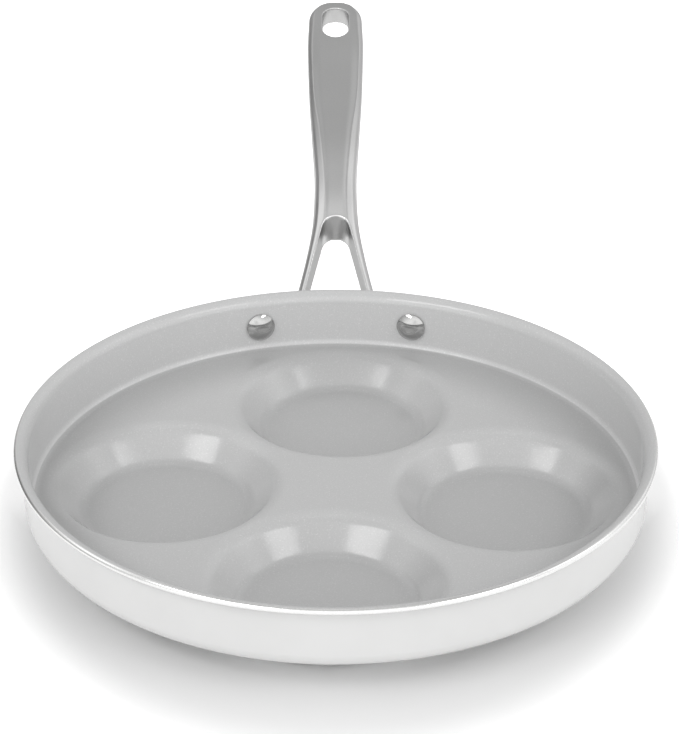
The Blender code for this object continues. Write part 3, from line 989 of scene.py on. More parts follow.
    def floor_rings(self, floor_radius: float,
                    radii: Sequence[float]) -> list[tuple[np.ndarray, np.ndarray]]:
        """Return the rings of the sector's floor, from the cup's axis out to the sector's edge.

        Args:
            floor_radius: The radius of the floor's round edge.
            radii: The rings' radii inside the mouth.

        Returns:
            The X and Y of each ring's points, one for each ray.
        """
        pitch, mouth = self.sizes.cup_pitch_radius, self.cup_mouth_radius
        end_x, end_y = self.rays(floor_radius)
        reach = np.hypot(end_x - pitch, end_y)
        cos, sin = (end_x - pitch) / reach, end_y / reach
        squeeze = np.minimum(1.0, reach / mouth)
        rings = []
        for radius in radii:
            r = radius * (1 - (1 - squeeze) * (radius / mouth) ** self.squeeze_power)
            rings.append((pitch + r * cos, r * sin))
        for share in self.edge_shares:
            r = mouth * squeeze + (reach - mouth * squeeze) * share
            rings.append((pitch + r * cos, r * sin))
        return rings

    def cup_radii(self, offset: float) -> list[float]:
        """Choose ring radii that follow a cup's rounds closely and its flats loosely.

        Args:
            offset: How far outside the cup's inner skin the wanted skin lies.

        Returns:
            The radii, from the cup's middle to its mouth.
        """
        flat, slope = self.sizes.cup_flat_radius, self.side_slope
        mouth, foot = self.mouth_round - offset, self.foot_round + offset
        radii = [flat * share for share in self.flat_shares]
        for step in range(1, self.foot_steps + 1):
            radii.append(flat + foot * math.sin(slope * step / self.foot_steps))
        radii += inner_steps(*self.side_ends(offset), self.side_steps)
        for step in range(self.mouth_steps + 1):
            turn = slope * (1 - step / self.mouth_steps)
            radii.append(self.cup_mouth_radius - mouth * math.sin(turn))
        return radii

    def wall_profile(self) -> list[tuple[float, float, Surface]]:
        """Lay out the wall's profile, from the floor's edge over the lip to the underside's edge.

        Returns:
            The radius, the height and the finish of each point.
        """
        inner, outer = self.sizes.wall_inner_radius, self.sizes.wall_outer_radius
        tight, wide, quarter = self.tight_round_steps, self.wide_round_steps, math.pi / 2
        lip_low = self.sizes.rim_z - self.lip_radius
        lip_centre = (self.rim_radius - self.lip_land, lip_low)

        corner = (inner - self.inner_corner, self.floor_z + self.inner_corner)
        coated = arc(corner, self.inner_corner, -quarter, 0.0, tight)
        coated += [(inner, z) for z in inner_steps(corner[1], lip_low, self.wall_steps)]
        bevel_turn = math.asin(self.lip_bevel / self.lip_radius / 2)
        coated += arc(lip_centre, self.lip_radius, math.pi, quarter + bevel_turn, wide)

        start_x, start_z = coated[-1]
        ground = [(start_x + (self.rim_radius - start_x) * out, start_z - self.lip_bevel * down)
                  for out, down in self.bevel_shares]
        land_z = self.sizes.rim_z - self.wall_thickness + self.lip_land
        ground += arc((lip_centre[0], land_z), self.lip_land, 0.0, -quarter, self.land_steps)

        under_lip = self.lip_radius - self.wall_thickness
        enamelled = arc(lip_centre, under_lip, quarter, math.pi, tight)[1:]
        under = self.floor_z - self.floor_thickness
        corner = (outer - self.outer_corner, under + self.outer_corner)
        enamelled += [(outer, z) for z in inner_steps(lip_low, corner[1], self.wall_steps)]
        enamelled += arc(corner, self.outer_corner, 0.0, -quarter, wide)

        stretches = ((coated, Surface.CERAMIC), (ground, Surface.BARE_METAL),
                     (enamelled, Surface.ENAMEL))
        return [(x, z, surface) for points, surface in stretches for x, z in points]

    def add_inside(self, skin: SectorSkin) -> list[int]:
        """Add the inner skin of the cup and the floor to the sector.

        Args:
            skin: The sector so far.

        Returns:
            The vertex numbers along the floor's round edge.
        """
        floor_edge = self.sizes.wall_inner_radius - self.inner_corner
        rings = [skin.add_ring(x, y, self.inner_height(x, y))
                 for x, y in self.floor_rings(floor_edge, self.cup_radii(0.0))]
        centre = (self.sizes.cup_pitch_radius, 0.0, self.floor_z - self.cup_depth)
        skin.add_cap(rings[0], centre, True, Surface.CERAMIC)
        for near, far in zip(rings, rings[1:]):
            skin.join(near, far, True, Surface.CERAMIC)
        return rings[-1][: self.rim_rays + 1]

    def add_wall(self, skin: SectorSkin, edge: list[int]) -> list[int]:
        """Add the wall and the lip to the sector.

        Args:
            skin: The sector so far.
            edge: The vertex numbers along the floor's round edge.

        Returns:
            The vertex numbers along the underside's round edge.
        """
        half = math.pi / self.sizes.cup_count
        turn = np.linspace(-half, half, self.rim_rays + 1)
        for radius, height, finish in self.wall_profile()[1:]:
            x, y = radius * np.cos(turn), radius * np.sin(turn)
            ring = skin.add_ring(x, y, np.full_like(x, height))
            skin.join(edge, ring, False, finish)
            edge = ring
        return edge

    def add_underside(self, skin: SectorSkin, edge: list[int]) -> None:
        """Add the underside, with the cup's foot and the disc's recess, to the sector.

        Args:
            skin: The sector so far.
            edge: The vertex numbers along the underside's round edge.
        """
        under_edge = self.sizes.wall_outer_radius - self.outer_corner
        recess_radius = self.sizes.disc_radius + self.disc_gap
        radii = [recess_radius] + [r for r in self.cup_radii(self.cup_wall) if r > recess_radius]
        places = self.floor_rings(under_edge, radii)
        rings = [skin.add_ring(x, y, self.under_height(x, y)) for x, y in places]
        rings[-1][: self.rim_rays + 1] = edge
        for near, far in zip(rings, rings[1:]):
            skin.join(far, near, True, Surface.ENAMEL)
        x, y = places[0]
        recess_top = skin.add_ring(x, y, np.full_like(x, self.disc_recess))
        skin.join(rings[0], recess_top, True, Surface.ENAMEL)
        centre = (self.sizes.cup_pitch_radius, 0.0, self.disc_recess)
        skin.add_cap(recess_top, centre, False, Surface.ENAMEL)

    def sector(self) -> bpy.types.Object:
        """Build one sector of the body, with its cup, and return it as an object."""
        skin = SectorSkin()
        self.add_underside(skin, self.add_wall(skin, self.add_inside(skin)))
        return skin.build("pan_sector")

    def ring_tree(self, finishes: dict[Surface, bpy.types.Material]) -> Tree:
        """Build the tree that repeats the sector round the pan's axis.

        Args:
            finishes: The material of each surface.

        Returns:
            The tree.
        """
        tree = Tree("Pressed ring of cups", {
            "Cup Count": self.sizes.cup_count,
            "Cup Turn": self.sizes.cup_turn - math.pi / 2,
            "Axis Y": self.sizes.axis_y,
            "Weld Distance": MERGE_DISTANCE,
        })
        given = tree.given
        share = tree.math("DIVIDE", tree.add("GeometryNodeInputIndex").outputs[0],
                          given["Cup Count"])
        turn = tree.vector(Z=tree.math("MULTIPLY_ADD", share, 2 * math.pi, given["Cup Turn"]))
        ring = tree.copies(given["Cup Count"], tree.vector(Y=given["Axis Y"]), given["Geometry"],
                           turn)
        welded = tree.add("GeometryNodeMergeByDistance", {
            "Geometry": ring, "Distance": given["Weld Distance"],
        })
        finish = tree.add("GeometryNodeInputNamedAttribute", {"Name": "finish"}, data_type="INT")
        worn = []
        for surface, material in finishes.items():
            chosen = tree.math("COMPARE", finish.outputs["Attribute"], surface.value,
                               WHOLE_TOLERANCE)
            worn.append((material, chosen))
        tree.finish(tree.smooth(welded.outputs[0]), worn)
        return tree

    def build(self, finishes: dict[Surface, bpy.types.Material]) -> None:
        """Build the whole body.

        Args:
            finishes: The material of each surface.
        """
        item = grow(self.sector(), self.ring_tree(finishes))
        item.name = "pressed_body"
        hand_over(item, "enamelled_aluminium", "pan_body")


@dataclass(frozen=True)
class Section:
    """The handle's cross-section at one place; distance runs outwards from the pan's wall."""

    distance: float
    half_width: float
    thickness: float
    channel: float
    channel_depth: float
    shoulder_drop: float
    belly_power: float

    def sizes(self) -> np.ndarray:
        """Return all sizes but the distance, for interpolation."""
        return np.array((self.half_width, self.thickness, self.channel, self.channel_depth,
                         self.shoulder_drop, self.belly_power))


HANDLE_SECTIONS = (
    Section(0.000, 0.0208, 0.0106, 0.0158, 0.0000, 0.0020, 3.6),
    Section(0.012, 0.0171, 0.0106, 0.0123, 0.0000, 0.0020, 3.6),
    Section(0.025, 0.0136, 0.0108, 0.0088, 0.0001, 0.0021, 3.4),
    Section(0.038, 0.0110, 0.0110, 0.0056, 0.0002, 0.0023, 3.2),
    Section(0.052, 0.0102, 0.0108, 0.0050, 0.0004, 0.0025, 2.8),
    Section(0.067, 0.0103, 0.0106, 0.0056, 0.0005, 0.0027, 2.6),
    Section(0.094, 0.0117, 0.0104, 0.0076, 0.0007, 0.0028, 2.4),
    Section(0.120, 0.0131, 0.0102, 0.0105, 0.0009, 0.0026, 2.4),
    Section(0.145, 0.0139, 0.0100, 0.0116, 0.0008, 0.0023, 2.4),
    Section(0.162, 0.0142, 0.0099, 0.0119, 0.0003, 0.0021, 2.4),
    Section(0.180, 0.0138, 0.0098, 0.0112, 0.0000, 0.0020, 2.4),
    Section(0.195, 0.0136, 0.0097, 0.0108, 0.0000, 0.0020, 2.4),
)


@dataclass
class Handle:
    """The cast handle: lofted grip and neck, an arch cut between its arms, and the foot plate."""

    sizes: PanSizes
    sections: tuple[Section, ...] = HANDLE_SECTIONS
    root_lift: float = 0.001
    root_angle: float = math.radians(37.0)
    grip_angle: float = math.radians(18.3)
    bend_start: float = 0.028
    bend_end: float = 0.066
    tip_round: float = 0.0136
    tip_power: float = 2.4
    tip_thinning: float = 0.18
    tip_sweep: float = math.radians(88.0)
    root_overrun: float = 0.007
    plate_pad_radius: float = 0.008
    arch_reach: float = 0.038
    arch_radius: float = 0.0068
    arch_splay: float = math.radians(16.5)
    hole_width: float = 0.0132
    hole_length: float = 0.024
    hole_to_tip: float = 0.0058
    channel_flat: float = 0.70
    chamfer_share: float = 0.58
    chamfer_drop: float = 0.62
    side_inset: float = 0.3
    side_steepness: float = 1.3
    edge_steepness: float = 3.5
    plate_overcut: float = 0.00005
    trim_reach: float = 0.065
    arch_start: float = 0.0019
    cutter_reach: float = 0.2
    hole_cutter_reach: float = 0.02
    voxel: float = 0.0005
    soft_share: float = 0.5
    soft_passes: int = 2
    spine_step: float = 0.001
    stations: int = 120
    tip_stations: int = 22
    channel_steps: int = 12
    edge_steps: int = 6
    belly_steps: int = 16
    arch_steps: int = 40
    round_steps: int = 256

    @property
    def wall_y(self) -> float:
        """Return where the wall's outer skin crosses the handle's middle plane."""
        return self.sizes.axis_y + self.sizes.wall_outer_radius

    @property
    def spine_reach(self) -> float:
        """Return how far the spine runs; the tilted tip's lower edge leads it a little."""
        tip = self.sections[-1].thickness * (1 - self.tip_thinning * (1 - math.cos(self.tip_sweep)))
        return self.sections[-1].distance - tip / 2 * math.sin(self.grip_angle)

    def slope(self, distance: float) -> float:
        """Return the spine's slope at a distance from the wall."""
        along = (distance - self.bend_start) / (self.bend_end - self.bend_start)
        share = (1 + math.cos(math.pi * min(max(along, 0.0), 1.0))) / 2
        return self.grip_angle + (self.root_angle - self.grip_angle) * share

    def height(self, distance: float) -> float:
        """Return the spine's height at a distance from the wall."""
        steps = max(1, math.ceil(abs(distance) / self.spine_step))
        step = distance / steps
        rise = sum(math.tan(self.slope((i + 0.5) * step)) for i in range(steps)) * step
        return self.sizes.rivet_z + self.root_lift + rise

    def section_at(self, distance: float) -> np.ndarray:
        """Work out the section's sizes at a place, on smooth cubics between the given sections.

        Args:
            distance: The distance from the pan's wall.

        Returns:
            The sizes, in the order of Section.sizes.
        """
        rows, last = self.sections, len(self.sections) - 1
        index = 0
        while index < last - 1 and rows[index + 1].distance <= distance:
            index += 1
        low, high = rows[index], rows[index + 1]
        before, after = rows[max(index - 1, 0)], rows[min(index + 2, last)]
        span = high.distance - low.distance
        t = (distance - low.distance) / span
        start = (high.sizes() - before.sizes()) / (high.distance - before.distance) * span
        end = (after.sizes() - low.sizes()) / (after.distance - low.distance) * span
        return ((2 * t**3 - 3 * t**2 + 1) * low.sizes() + (t**3 - 2 * t**2 + t) * start
                + (3 * t**2 - 2 * t**3) * high.sizes() + (t**3 - t**2) * end)

    def outline(self, sizes: np.ndarray, width_share: float,
                thickness_share: float) -> list[tuple[float, float]]:
        """Return half a section, from the middle of its top to the middle of its belly.

        Args:
            sizes: The section's sizes.
            width_share: Share of the width, less than 1 at the tip.
            thickness_share: Share of the thickness, less than 1 at the tip.

        Returns:
            Points across the handle and along its normal.
        """
        width, thickness, channel, depth, drop, power = sizes
        width, channel, depth = (value * width_share for value in (width, channel, depth))
        thickness, drop = thickness * thickness_share, drop * thickness_share
        top = thickness / 2
        points = []
        for step in range(self.channel_steps + 1):
            share = step / self.channel_steps
            rise = max(0.0, (share - self.channel_flat) / (1 - self.channel_flat))
            points.append((channel * share, top - depth * (1 - rise)))
        chamfer_x = channel + (width - channel) * self.chamfer_share
        chamfer = (chamfer_x, top - drop * self.chamfer_drop)
        side_x = width - (width - chamfer_x) * self.side_inset
        side = (side_x, chamfer[1] - (side_x - chamfer_x) * self.side_steepness)
        for start, end in (((channel, top), chamfer), (chamfer, side)):
            for step in range(1, self.edge_steps + 1):
                points.append(tuple(p + (q - p) * step / self.edge_steps
                                    for p, q in zip(start, end)))
        belly_top = side[1] - (width - side_x) * self.edge_steepness
        for step in range(self.belly_steps + 1):
            angle = math.pi / 2 * step / self.belly_steps
            points.append((width * math.cos(angle) ** (2 / power),
                           belly_top - (belly_top + top) * math.sin(angle) ** (2 / power)))
        points[-1] = (0.0, -top)
        return points

    def ring(self, distance: float, width_share: float = 1.0,
             thickness_share: float = 1.0) -> list[Vector]:
        """Return one closed ring of the grip's skin, square to the spine.

        Args:
            distance: The distance from the pan's wall.
            width_share: Share of the width, less than 1 at the tip.
            thickness_share: Share of the thickness, less than 1 at the tip.

        Returns:
            The ring's points.
        """
        half = self.outline(self.section_at(distance), width_share, thickness_share)
        angle = self.slope(distance)
        centre = Vector((0.0, self.wall_y + distance, self.height(distance)))
        normal = Vector((0.0, -math.sin(angle), math.cos(angle)))
        right = [centre + normal * z + Vector((x, 0.0, 0.0)) for x, z in half]
        left = [centre + normal * z - Vector((x, 0.0, 0.0)) for x, z in reversed(half[1:-1])]
        return right + left

    def blank(self) -> bpy.types.Object:
        """Build the lofted grip, neck and arms, before anything is cut from them."""
        round_start = self.spine_reach - self.tip_round
        power = 2 / self.tip_power
        rings = []
        for station in range(self.stations):
            share = station / (self.stations - 1)
            rings.append(self.ring(-self.root_overrun + (round_start + self.root_overrun) * share))
        for station in range(1, self.tip_stations + 1):
            angle = self.tip_sweep * station / self.tip_stations
            reach = (math.sin(angle) / math.sin(self.tip_sweep)) ** power
            thinning = 1 - self.tip_thinning * (1 - math.cos(angle))
            rings.append(self.ring(round_start + self.tip_round * reach, math.cos(angle) ** power,
                                   thinning))
        count = len(rings[0])
        faces: list[tuple[int, ...]] = []
        for row in range(len(rings) - 1):
            faces += ring_faces(count, row * count, (row + 1) * count)
        faces.append(tuple(reversed(range(count))))
        faces.append(tuple(range((len(rings) - 1) * count, len(rings) * count)))
        item = mesh_object("cast_handle", [point for ring in rings for point in ring], faces)
        turn_outwards(item.data)
        return item

    def foot_plate(self) -> bpy.types.Object:
        """Build the curved foot plate as a band about the pan's axis, trimmed to its outline."""
        low, high = 0.0, self.sizes.rim_z
        outer = self.sizes.plate_outer_radius
        inner = self.sizes.plate_inner_radius - self.plate_overcut
        section = ((outer, low), (outer, high), (inner, high), (inner, low))
        vertices, faces = [], []
        for step in range(self.round_steps):
            angle = 2 * math.pi * step / self.round_steps
            vertices += [(r * math.sin(angle), self.sizes.axis_y + r * math.cos(angle), z)
                         for r, z in section]
            following = (step + 1) % self.round_steps
            faces += ring_faces(len(section), step * len(section), following * len(section))
        band = mesh_object("foot_band", vertices, faces)
        turn_outwards(band.data)
        outline = slot_outline(outer * math.sin(self.sizes.rivet_angle), self.plate_pad_radius)
        place = (Matrix.Translation((0.0, self.wall_y, self.sizes.rivet_z))
                 @ Matrix.Rotation(math.pi / 2, 4, "X"))
        return combine(band, prism("foot_trim", outline, self.trim_reach, place), "INTERSECT")

    def arch_cutter(self) -> bpy.types.Object:
        """Build the cutter that opens the arch between the arms."""
        crown_y = self.wall_y + self.arch_reach - self.arch_radius
        crown = arc((0.0, crown_y), self.arch_radius, self.arch_splay,
                    math.pi - self.arch_splay, self.arch_steps)
        root_y = self.wall_y + self.arch_start
        root_x = crown[0][0] + (crown[0][1] - root_y) * math.tan(self.arch_splay)
        outline = [(root_x, root_y), *crown, (-root_x, root_y)]
        return prism("arch_cutter", outline, self.cutter_reach, Matrix.Identity(4))

    def wall_cutter(self) -> bpy.types.Object:
        """Build the cutter that keeps the handle clear of the pan's wall."""
        outline = arc((0.0, self.sizes.axis_y), self.sizes.plate_inner_radius, 0.0, 2 * math.pi,
                      self.round_steps)[:-1]
        return prism("wall_clearance", outline, self.cutter_reach, Matrix.Identity(4))

    def hole_cutter(self) -> bpy.types.Object:
        """Build the cutter of the hanging hole, square to the grip."""
        distance = (self.spine_reach
                    - (self.hole_to_tip + self.hole_length / 2) * math.cos(self.grip_angle))
        place = (Matrix.Translation((0.0, self.wall_y + distance, self.height(distance)))
                 @ Matrix.Rotation(self.grip_angle, 4, "X") @ Matrix.Rotation(math.pi / 2, 4, "Z"))
        outline = slot_outline((self.hole_length - self.hole_width) / 2, self.hole_width / 2)
        return prism("hanging_hole", outline, self.hole_cutter_reach, place)

    def build(self, finish: bpy.types.Material) -> None:
        """Build the whole handle.

        Args:
            finish: Its material.
        """
        item = combine(self.blank(), self.arch_cutter(), "DIFFERENCE")
        combine(item, self.foot_plate(), "UNION")
        combine(item, self.wall_cutter(), "DIFFERENCE")
        combine(item, self.hole_cutter(), "DIFFERENCE")
        remesh = item.modifiers.new("Cast skin", "REMESH")
        remesh.mode = "VOXEL"
        remesh.voxel_size = self.voxel
        remesh.use_smooth_shade = True
        soften = item.modifiers.new("Soft edges", "SMOOTH")
        soften.factor = self.soft_share
        soften.iterations = self.soft_passes
        settle(item)
        item.data.materials.clear()
        item.data.materials.append(finish)
        hand_over(item, "cast_steel", "handle")


@dataclass
class Rivets:
    """The two rivets, each turned from one profile and set through the wall and the foot plate."""

    sizes: PanSizes
    count: int = 2
    head_diameter: float = 0.013
    head_height: float = 0.003
    head_band: float = 0.0006
    shank_diameter: float = 0.006
    tail_diameter: float = 0.010
    tail_height: float = 0.002
    tail_round: float = 0.0012
    head_chamfer: float = 0.0002
    chamfer_share: float = 0.35
    gap: float = 0.0003
    turns: int = 64
    dome_steps: int = 20
    tail_steps: int = 8

    def profile(self) -> list[tuple[float, float]]:
        """Lay out the profile, from the head's top to the tail's.

        Returns:
            The radius and the height of each point.
        """
        head, tail = self.head_diameter / 2, self.tail_diameter / 2
        shank = self.shank_diameter / 2
        seat = math.sqrt(self.sizes.wall_inner_radius**2 - head**2) - self.gap
        tail_seat = self.sizes.plate_outer_radius + self.gap
        dome = self.head_height - self.head_band
        radius = (head**2 + dome**2) / (2 * dome)
        quarter, half_angle = math.pi / 2, math.asin(head / radius)
        top = seat - self.head_height
        points = arc((0.0, top + radius), radius, -quarter, half_angle - quarter, self.dome_steps)
        points[0] = (0.0, top)
        points.append((head, seat - self.head_band * self.chamfer_share))
        points += [(head - self.head_chamfer, seat), (shank, seat)]
        points += [(shank, tail_seat), (tail, tail_seat)]
        end = tail_seat + self.tail_height
        points += arc((tail - self.tail_round, end - self.tail_round), self.tail_round,
                      0.0, quarter, self.tail_steps)
        points.append((0.0, end))
        return points

    def tree(self, finish: bpy.types.Material) -> Tree:
        """Build the tree that turns the profile and sets a rivet on each side.

        Args:
            finish: The rivets' material.

        Returns:
            The tree.
        """
        tree = Tree("Turned and set rivets", {
            "Turns": self.turns,
            "Rivet Count": self.count,
            "Rivet Angle": self.sizes.rivet_angle,
            "Rivet Height": self.sizes.rivet_z,
            "Axis Y": self.sizes.axis_y,
            "Weld Distance": MERGE_DISTANCE,
        })
        given = tree.given
        rivet = tree.turned(given["Geometry"], given["Turns"], given["Weld Distance"])
        # Rivet 0 or 1 lies on side -1 or 1
        side = tree.math("MULTIPLY_ADD", tree.add("GeometryNodeInputIndex").outputs[0], 2.0, -1.0)
        turn = tree.vector(X=-math.pi / 2, Z=tree.math("MULTIPLY", side, given["Rivet Angle"]))
        place = tree.vector(Y=given["Axis Y"], Z=given["Rivet Height"])
        pair = tree.copies(given["Rivet Count"], place, rivet, turn)
        tree.finish(tree.smooth(pair), [(finish, None)])
        return tree

    def build(self, finish: bpy.types.Material) -> None:
        """Build both rivets as one piece.

        Args:
            finish: Their material.
        """
        item = grow(profile_object("turned_rivets", self.profile()), self.tree(finish))
        turn_outwards(item.data)
        hand_over(item, "polished_steel", "rivet_left", "rivet_right")


@dataclass
class BaseDiscs:
    """The magnetic discs in the cups' feet, with rings of pressed studs showing through them."""

    sizes: PanSizes
    thickness: float = 0.0008
    edge_round: float = 0.00025
    stud_proud: float = 0.00012
    stud_radius: float = 0.00115
    stud_ring_step: float = 0.0051
    stud_rings: int = 5
    stud_sides: int = 14
    middle_share: float = 0.5
    edge_steps: int = 4
    turns: int = 96

    @property
    def stud_height(self) -> float:
        """Return a stud's height, of which two thirds lie inside the disc."""
        return 3 * self.stud_proud

    def profile(self) -> list[tuple[float, float]]:
        """Lay out the disc's profile, from its underside to its top.

        Returns:
            The radius and the height of each point.
        """
        radius, low = self.sizes.disc_radius, self.stud_proud
        points = [(0.0, low), (radius * self.middle_share, low)]
        points += arc((radius - self.edge_round, low + self.edge_round), self.edge_round,
                      -math.pi / 2, 0.0, self.edge_steps)
        points += [(radius, self.thickness), (0.0, self.thickness)]
        return points

    def studs(self, tree: Tree) -> bpy.types.NodeSocket:
        """Add one disc's studs to a tree: one in the middle, and rings of six more each.

        Args:
            tree: The tree, with the studs' sizes among its inputs.

        Returns:
            The studs, each face marked as a stud's.
        """
        given, index = tree.given, tree.add("GeometryNodeInputIndex").outputs[0]
        # Up to ring n there are 1 + 3n(n + 1) studs, so a stud's number gives its ring and angle
        rings = given["Stud Rings"]
        count = tree.math("MULTIPLY_ADD", tree.math("MULTIPLY", rings, 3.0),
                          tree.math("ADD", rings, 1.0), 1.0)
        root = tree.math("SQRT", tree.math("MULTIPLY_ADD", index, 12.0, 9.0))
        ring = tree.math("CEIL", tree.math("DIVIDE", tree.math("SUBTRACT", root, 3.0), 6.0))
        before = tree.math("MULTIPLY", tree.math("MULTIPLY", ring, 3.0),
                           tree.math("SUBTRACT", ring, 1.0))
        along = tree.math("SUBTRACT", tree.math("SUBTRACT", index, 1.0), before)
        in_ring = tree.math("MAXIMUM", tree.math("MULTIPLY", ring, 6.0), 1.0)
        angle = tree.math("MULTIPLY", tree.math("DIVIDE", along, in_ring), 2 * math.pi)
        reach = tree.math("MULTIPLY", ring, given["Stud Ring Step"])
        place = tree.vector(X=tree.math("MULTIPLY", reach, tree.math("COSINE", angle)),
                            Y=tree.math("MULTIPLY", reach, tree.math("SINE", angle)),
                            Z=tree.math("MULTIPLY", given["Stud Height"], 0.5))
        stud = tree.add("GeometryNodeMeshCylinder", {
            "Vertices": given["Stud Sides"], "Radius": given["Stud Radius"],
            "Depth": given["Stud Height"],
        })
        marked = tree.add("GeometryNodeStoreNamedAttribute", {
            "Geometry": tree.copies(count, place, stud.outputs["Mesh"]),
            "Name": "stud", "Value": True,
        }, data_type="BOOLEAN", domain="FACE")
        return marked.outputs[0]

    def tree(self, sheet: bpy.types.Material, stud: bpy.types.Material) -> Tree:
        """Build the tree that turns a disc, studs it and sets one in each cup's foot.

        Args:
            sheet: The disc's material.
            stud: The studs' material.

        Returns:
            The tree.
        """
        tree = Tree("Studded base discs", {
            "Turns": self.turns,
            "Stud Rings": self.stud_rings,
            "Stud Ring Step": self.stud_ring_step,
            "Stud Radius": self.stud_radius,
            "Stud Height": self.stud_height,
            "Stud Sides": self.stud_sides,
            "Cup Count": self.sizes.cup_count,
            "Cup Turn": self.sizes.cup_turn - math.pi / 2,
            "Cup Pitch": self.sizes.cup_pitch_radius,
            "Axis Y": self.sizes.axis_y,
            "Weld Distance": MERGE_DISTANCE,
        })
        given = tree.given
        disc = tree.turned(given["Geometry"], given["Turns"], given["Weld Distance"])
        joined = tree.add("GeometryNodeJoinGeometry")
        for piece in (disc, self.studs(tree)):
            tree.wire(joined, {0: piece})
        share = tree.math("DIVIDE", tree.add("GeometryNodeInputIndex").outputs[0],
                          given["Cup Count"])
        turn = tree.math("MULTIPLY_ADD", share, 2 * math.pi, given["Cup Turn"])
        centre = tree.vector(
            X=tree.math("MULTIPLY", given["Cup Pitch"], tree.math("COSINE", turn)),
            Y=tree.math("MULTIPLY_ADD", given["Cup Pitch"], tree.math("SINE", turn),
                        given["Axis Y"]))
        discs = tree.copies(given["Cup Count"], centre, joined.outputs[0])
        is_stud = tree.add("GeometryNodeInputNamedAttribute", {"Name": "stud"}, data_type="BOOLEAN")
        tree.finish(tree.smooth(discs),
                    [(sheet, None), (stud, is_stud.outputs["Attribute"])])
        return tree

    def build(self, sheet: bpy.types.Material, stud: bpy.types.Material) -> None:
        """Build all the discs as one piece.

        Args:
            sheet: The discs' material.
            stud: The studs' material.
        """
        item = grow(profile_object("studded_base_discs", self.profile()), self.tree(sheet, stud))
        turn_outwards(item.data)
        hand_over(item, "magnetic_steel", "base_disc_front", "base_disc_right", "base_disc_back",
                  "base_disc_left")


# Studio


@dataclass(frozen=True)
class Softbox:
    """One rectangular soft light that faces the pan."""

    name: str
    place: tuple[float, float, float]
    width: float
    height: float
    power: float

    def build(self, target: Vector) -> None:
        """Build the light.

        Args:
            target: The place that it is turned towards.
        """
        light = bpy.data.lights.new(self.name, "AREA")
        light.shape = "RECTANGLE"
        light.size, light.size_y = self.width, self.height
        light.energy = self.power
        item = bpy.data.objects.new(self.name, light)
        bpy.context.scene.collection.objects.link(item)
        item.location = self.place
        item.rotation_euler = (target - Vector(self.place)).to_track_quat("-Z", "Y").to_euler()


@dataclass(frozen=True)
class Glow:
    """A wide soft patch of the room's light, or where its strength is negative a dark flag."""

    direction: tuple[float, float, float]
    sharpness: float
    strength: float

    def add_to(self, board: Board, place: bpy.types.NodeSocket,
               total: bpy.types.NodeSocket | float) -> bpy.types.NodeSocket:
        """Add this patch to the room's light.

        Args:
            board: The world's tree.
            place: The direction that is looked in.
            total: The light so far.

        Returns:
            The new total.
        """
        towards = tuple(Vector(self.direction).normalized())
        facing = board.vector_math("DOT_PRODUCT", place, towards).outputs["Value"]
        falloff = board.math("POWER", board.math("MAXIMUM", facing, 0.0), self.sharpness)
        return board.math("MULTIPLY_ADD", falloff, self.strength, total)


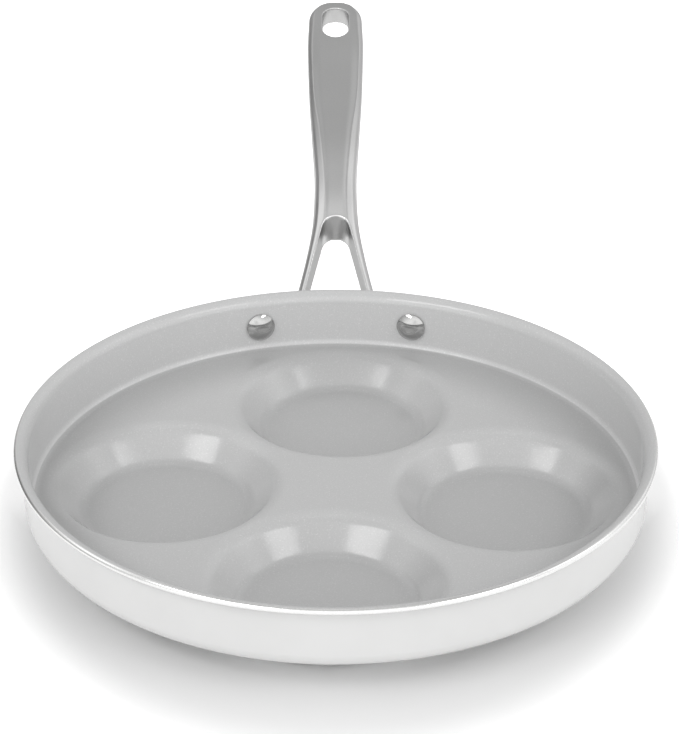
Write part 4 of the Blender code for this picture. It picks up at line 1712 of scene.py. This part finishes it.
@dataclass
class Studio:
    """A white floor, soft light and the camera at the photograph's viewing angle."""

    sizes: PanSizes
    softboxes: tuple[Softbox, ...] = (
        Softbox("right_softbox", (0.943, -0.757, 1.131), 0.72, 0.28, 2.3),
        Softbox("left_softbox", (-0.813, -0.854, 1.171), 0.92, 0.31, 3.9),
    )
    glows: tuple[Glow, ...] = (
        Glow((0.0, -1.0, 0.1), 8.0, 0.32),
        Glow((0.0, -0.9, 0.45), 8.0, 0.96),
        Glow((0.0, -0.95, 0.30), 40.0, -0.55),
        Glow((-0.7, -0.7, 0.15), 8.0, 0.84),
        Glow((0.7, -0.7, 0.15), 8.0, 0.80),
        Glow((1.0, 0.0, 0.1), 8.0, 0.60),
        Glow((0.0, 0.10, 0.995), 60.0, 0.46),
        Glow((-0.62, 0.35, 0.70), 14.0, 0.58),
        Glow((0.68, 0.15, 0.72), 14.0, 0.28),
        Glow((-0.78, 0.11, 0.60), 60.0, 0.75),
        Glow((0.78, 0.11, 0.60), 60.0, 0.90),
        Glow((0.62, 0.62, 0.48), 20.0, 0.45),
        Glow((0.45, 0.38, 0.81), 40.0, -0.20),
        Glow((-0.78, 0.60, 0.19), 14.0, -0.42),
    )
    base_light: float = 0.545
    light_target_z: float = 0.02
    floor_half: float = 6.0
    floor_colour: tuple[float, float, float] = (0.84, 0.84, 0.84)
    floor_lift: float = 0.62
    back_lift: float = 0.24
    mirrored_lift: float = 0.5
    shadow_shift: float = -0.01
    shadow_shape: tuple[float, float, float] = (1.22, 1.0, 1.0)
    shadow_reach: float = 0.148
    white_reach: float = 0.200
    white_behind: tuple[float, float] = (-0.03, 0.01)
    camera_place: tuple[float, float, float] = (0.0, -0.8485, 0.4692)
    camera_pitch: float = math.radians(27.94)
    camera_yaw: float = math.radians(0.113)
    lens: float = 104.57
    sensor: float = 36.0

    def whiteness(self, board: Board) -> bpy.types.NodeSocket:
        """Add the floor's own light, which grows away from the pan and behind it.

        Only the eye and reflections see it, so the floor is white and no light falls on the pan.

        Args:
            board: The floor material's board.

        Returns:
            The light's strength.
        """
        rays = board.add("ShaderNodeLightPath").outputs
        mirrored = board.math("MULTIPLY", rays["Is Glossy Ray"], self.mirrored_lift)
        seen = board.math("MAXIMUM", rays["Is Camera Ray"], mirrored)
        seen = board.math("MAXIMUM", seen, rays["Is Transmission Ray"])
        centre = (0.0, self.shadow_shift - self.sizes.axis_y, 0.0)
        offset = board.vector_math("ADD", board.coordinates("Object"), centre).outputs[0]
        offset = board.vector_math("MULTIPLY", offset, self.shadow_shape).outputs[0]
        reach = board.vector_math("LENGTH", offset).outputs["Value"]
        away = stretch_range(board, reach, self.shadow_reach, self.white_reach, 0.0,
                             self.floor_lift)
        behind = stretch_range(board, board.part(offset, "Y"), *self.white_behind, 0.0,
                               self.back_lift)
        return board.math("MULTIPLY", seen, board.math("MAXIMUM", away, behind))

    def floor(self) -> None:
        """Build the floor, which keeps the shadow and is white to the eye and in reflections."""
        half = self.floor_half
        corners = ((-half, -half, 0.0), (half, -half, 0.0), (half, half, 0.0), (-half, half, 0.0))
        item = mesh_object("studio_floor", corners, ((0, 1, 2, 3),))
        material, board, shader = new_material("studio_white")
        board.wire(shader, {
            "Base Color": (*self.floor_colour, 1.0), "Roughness": 1.0, "Specular IOR Level": 0.0,
        })
        lift = board.add("ShaderNodeEmission", {"Strength": self.whiteness(board)})
        both = board.add("ShaderNodeAddShader", {0: shader.outputs[0], 1: lift.outputs[0]})
        board.wire(board.tree.nodes["Material Output"], {"Surface": both.outputs[0]})
        item.data.materials.append(material)

    def sky(self) -> None:
        """Set the room's light: an even base and the glows."""
        world = bpy.data.worlds.new("studio")
        bpy.context.scene.world = world
        world.use_nodes = True
        board = Board(world.node_tree)
        place = board.coordinates("Generated")
        total: bpy.types.NodeSocket | float = self.base_light
        for glow in self.glows:
            total = glow.add_to(board, place, total)
        background = world.node_tree.nodes["Background"]
        board.wire(background, {"Color": (1.0, 1.0, 1.0, 1.0), "Strength": total})

    def camera(self) -> None:
        """Build the camera and make it the scene's."""
        camera = bpy.data.cameras.new("camera")
        camera.lens, camera.sensor_width = self.lens, self.sensor
        item = bpy.data.objects.new("camera", camera)
        bpy.context.scene.collection.objects.link(item)
        item.location = self.camera_place
        item.rotation_euler = (math.pi / 2 - self.camera_pitch, 0.0, -self.camera_yaw)
        bpy.context.scene.camera = item

    def build(self) -> None:
        """Build the floor, the lights and the camera."""
        bpy.context.scene.view_settings.view_transform = "Standard"
        self.floor()
        self.sky()
        target = Vector((0.0, self.sizes.axis_y, self.light_target_z))
        for softbox in self.softboxes:
            softbox.build(target)
        self.camera()


def main() -> None:
    """Build every sub-assembly in order, then the studio."""
    logging.basicConfig(level=logging.INFO, format="%(message)s")
    sizes = PanSizes()
    finishes = {
        Surface.CERAMIC: CeramicCoating().make(),
        Surface.BARE_METAL: GROUND_ALUMINIUM.make(),
        Surface.ENAMEL: WhiteEnamel().make(),
    }
    PanBody(sizes).build(finishes)
    Handle(sizes).build(CastSteel().make())
    Rivets(sizes).build(RIVET_STEEL.make())
    BaseDiscs(sizes).build(DISC_STEEL.make(), STUD_ALUMINIUM.make())
    Studio(sizes).build()


if __name__ == "__main__":
    main()
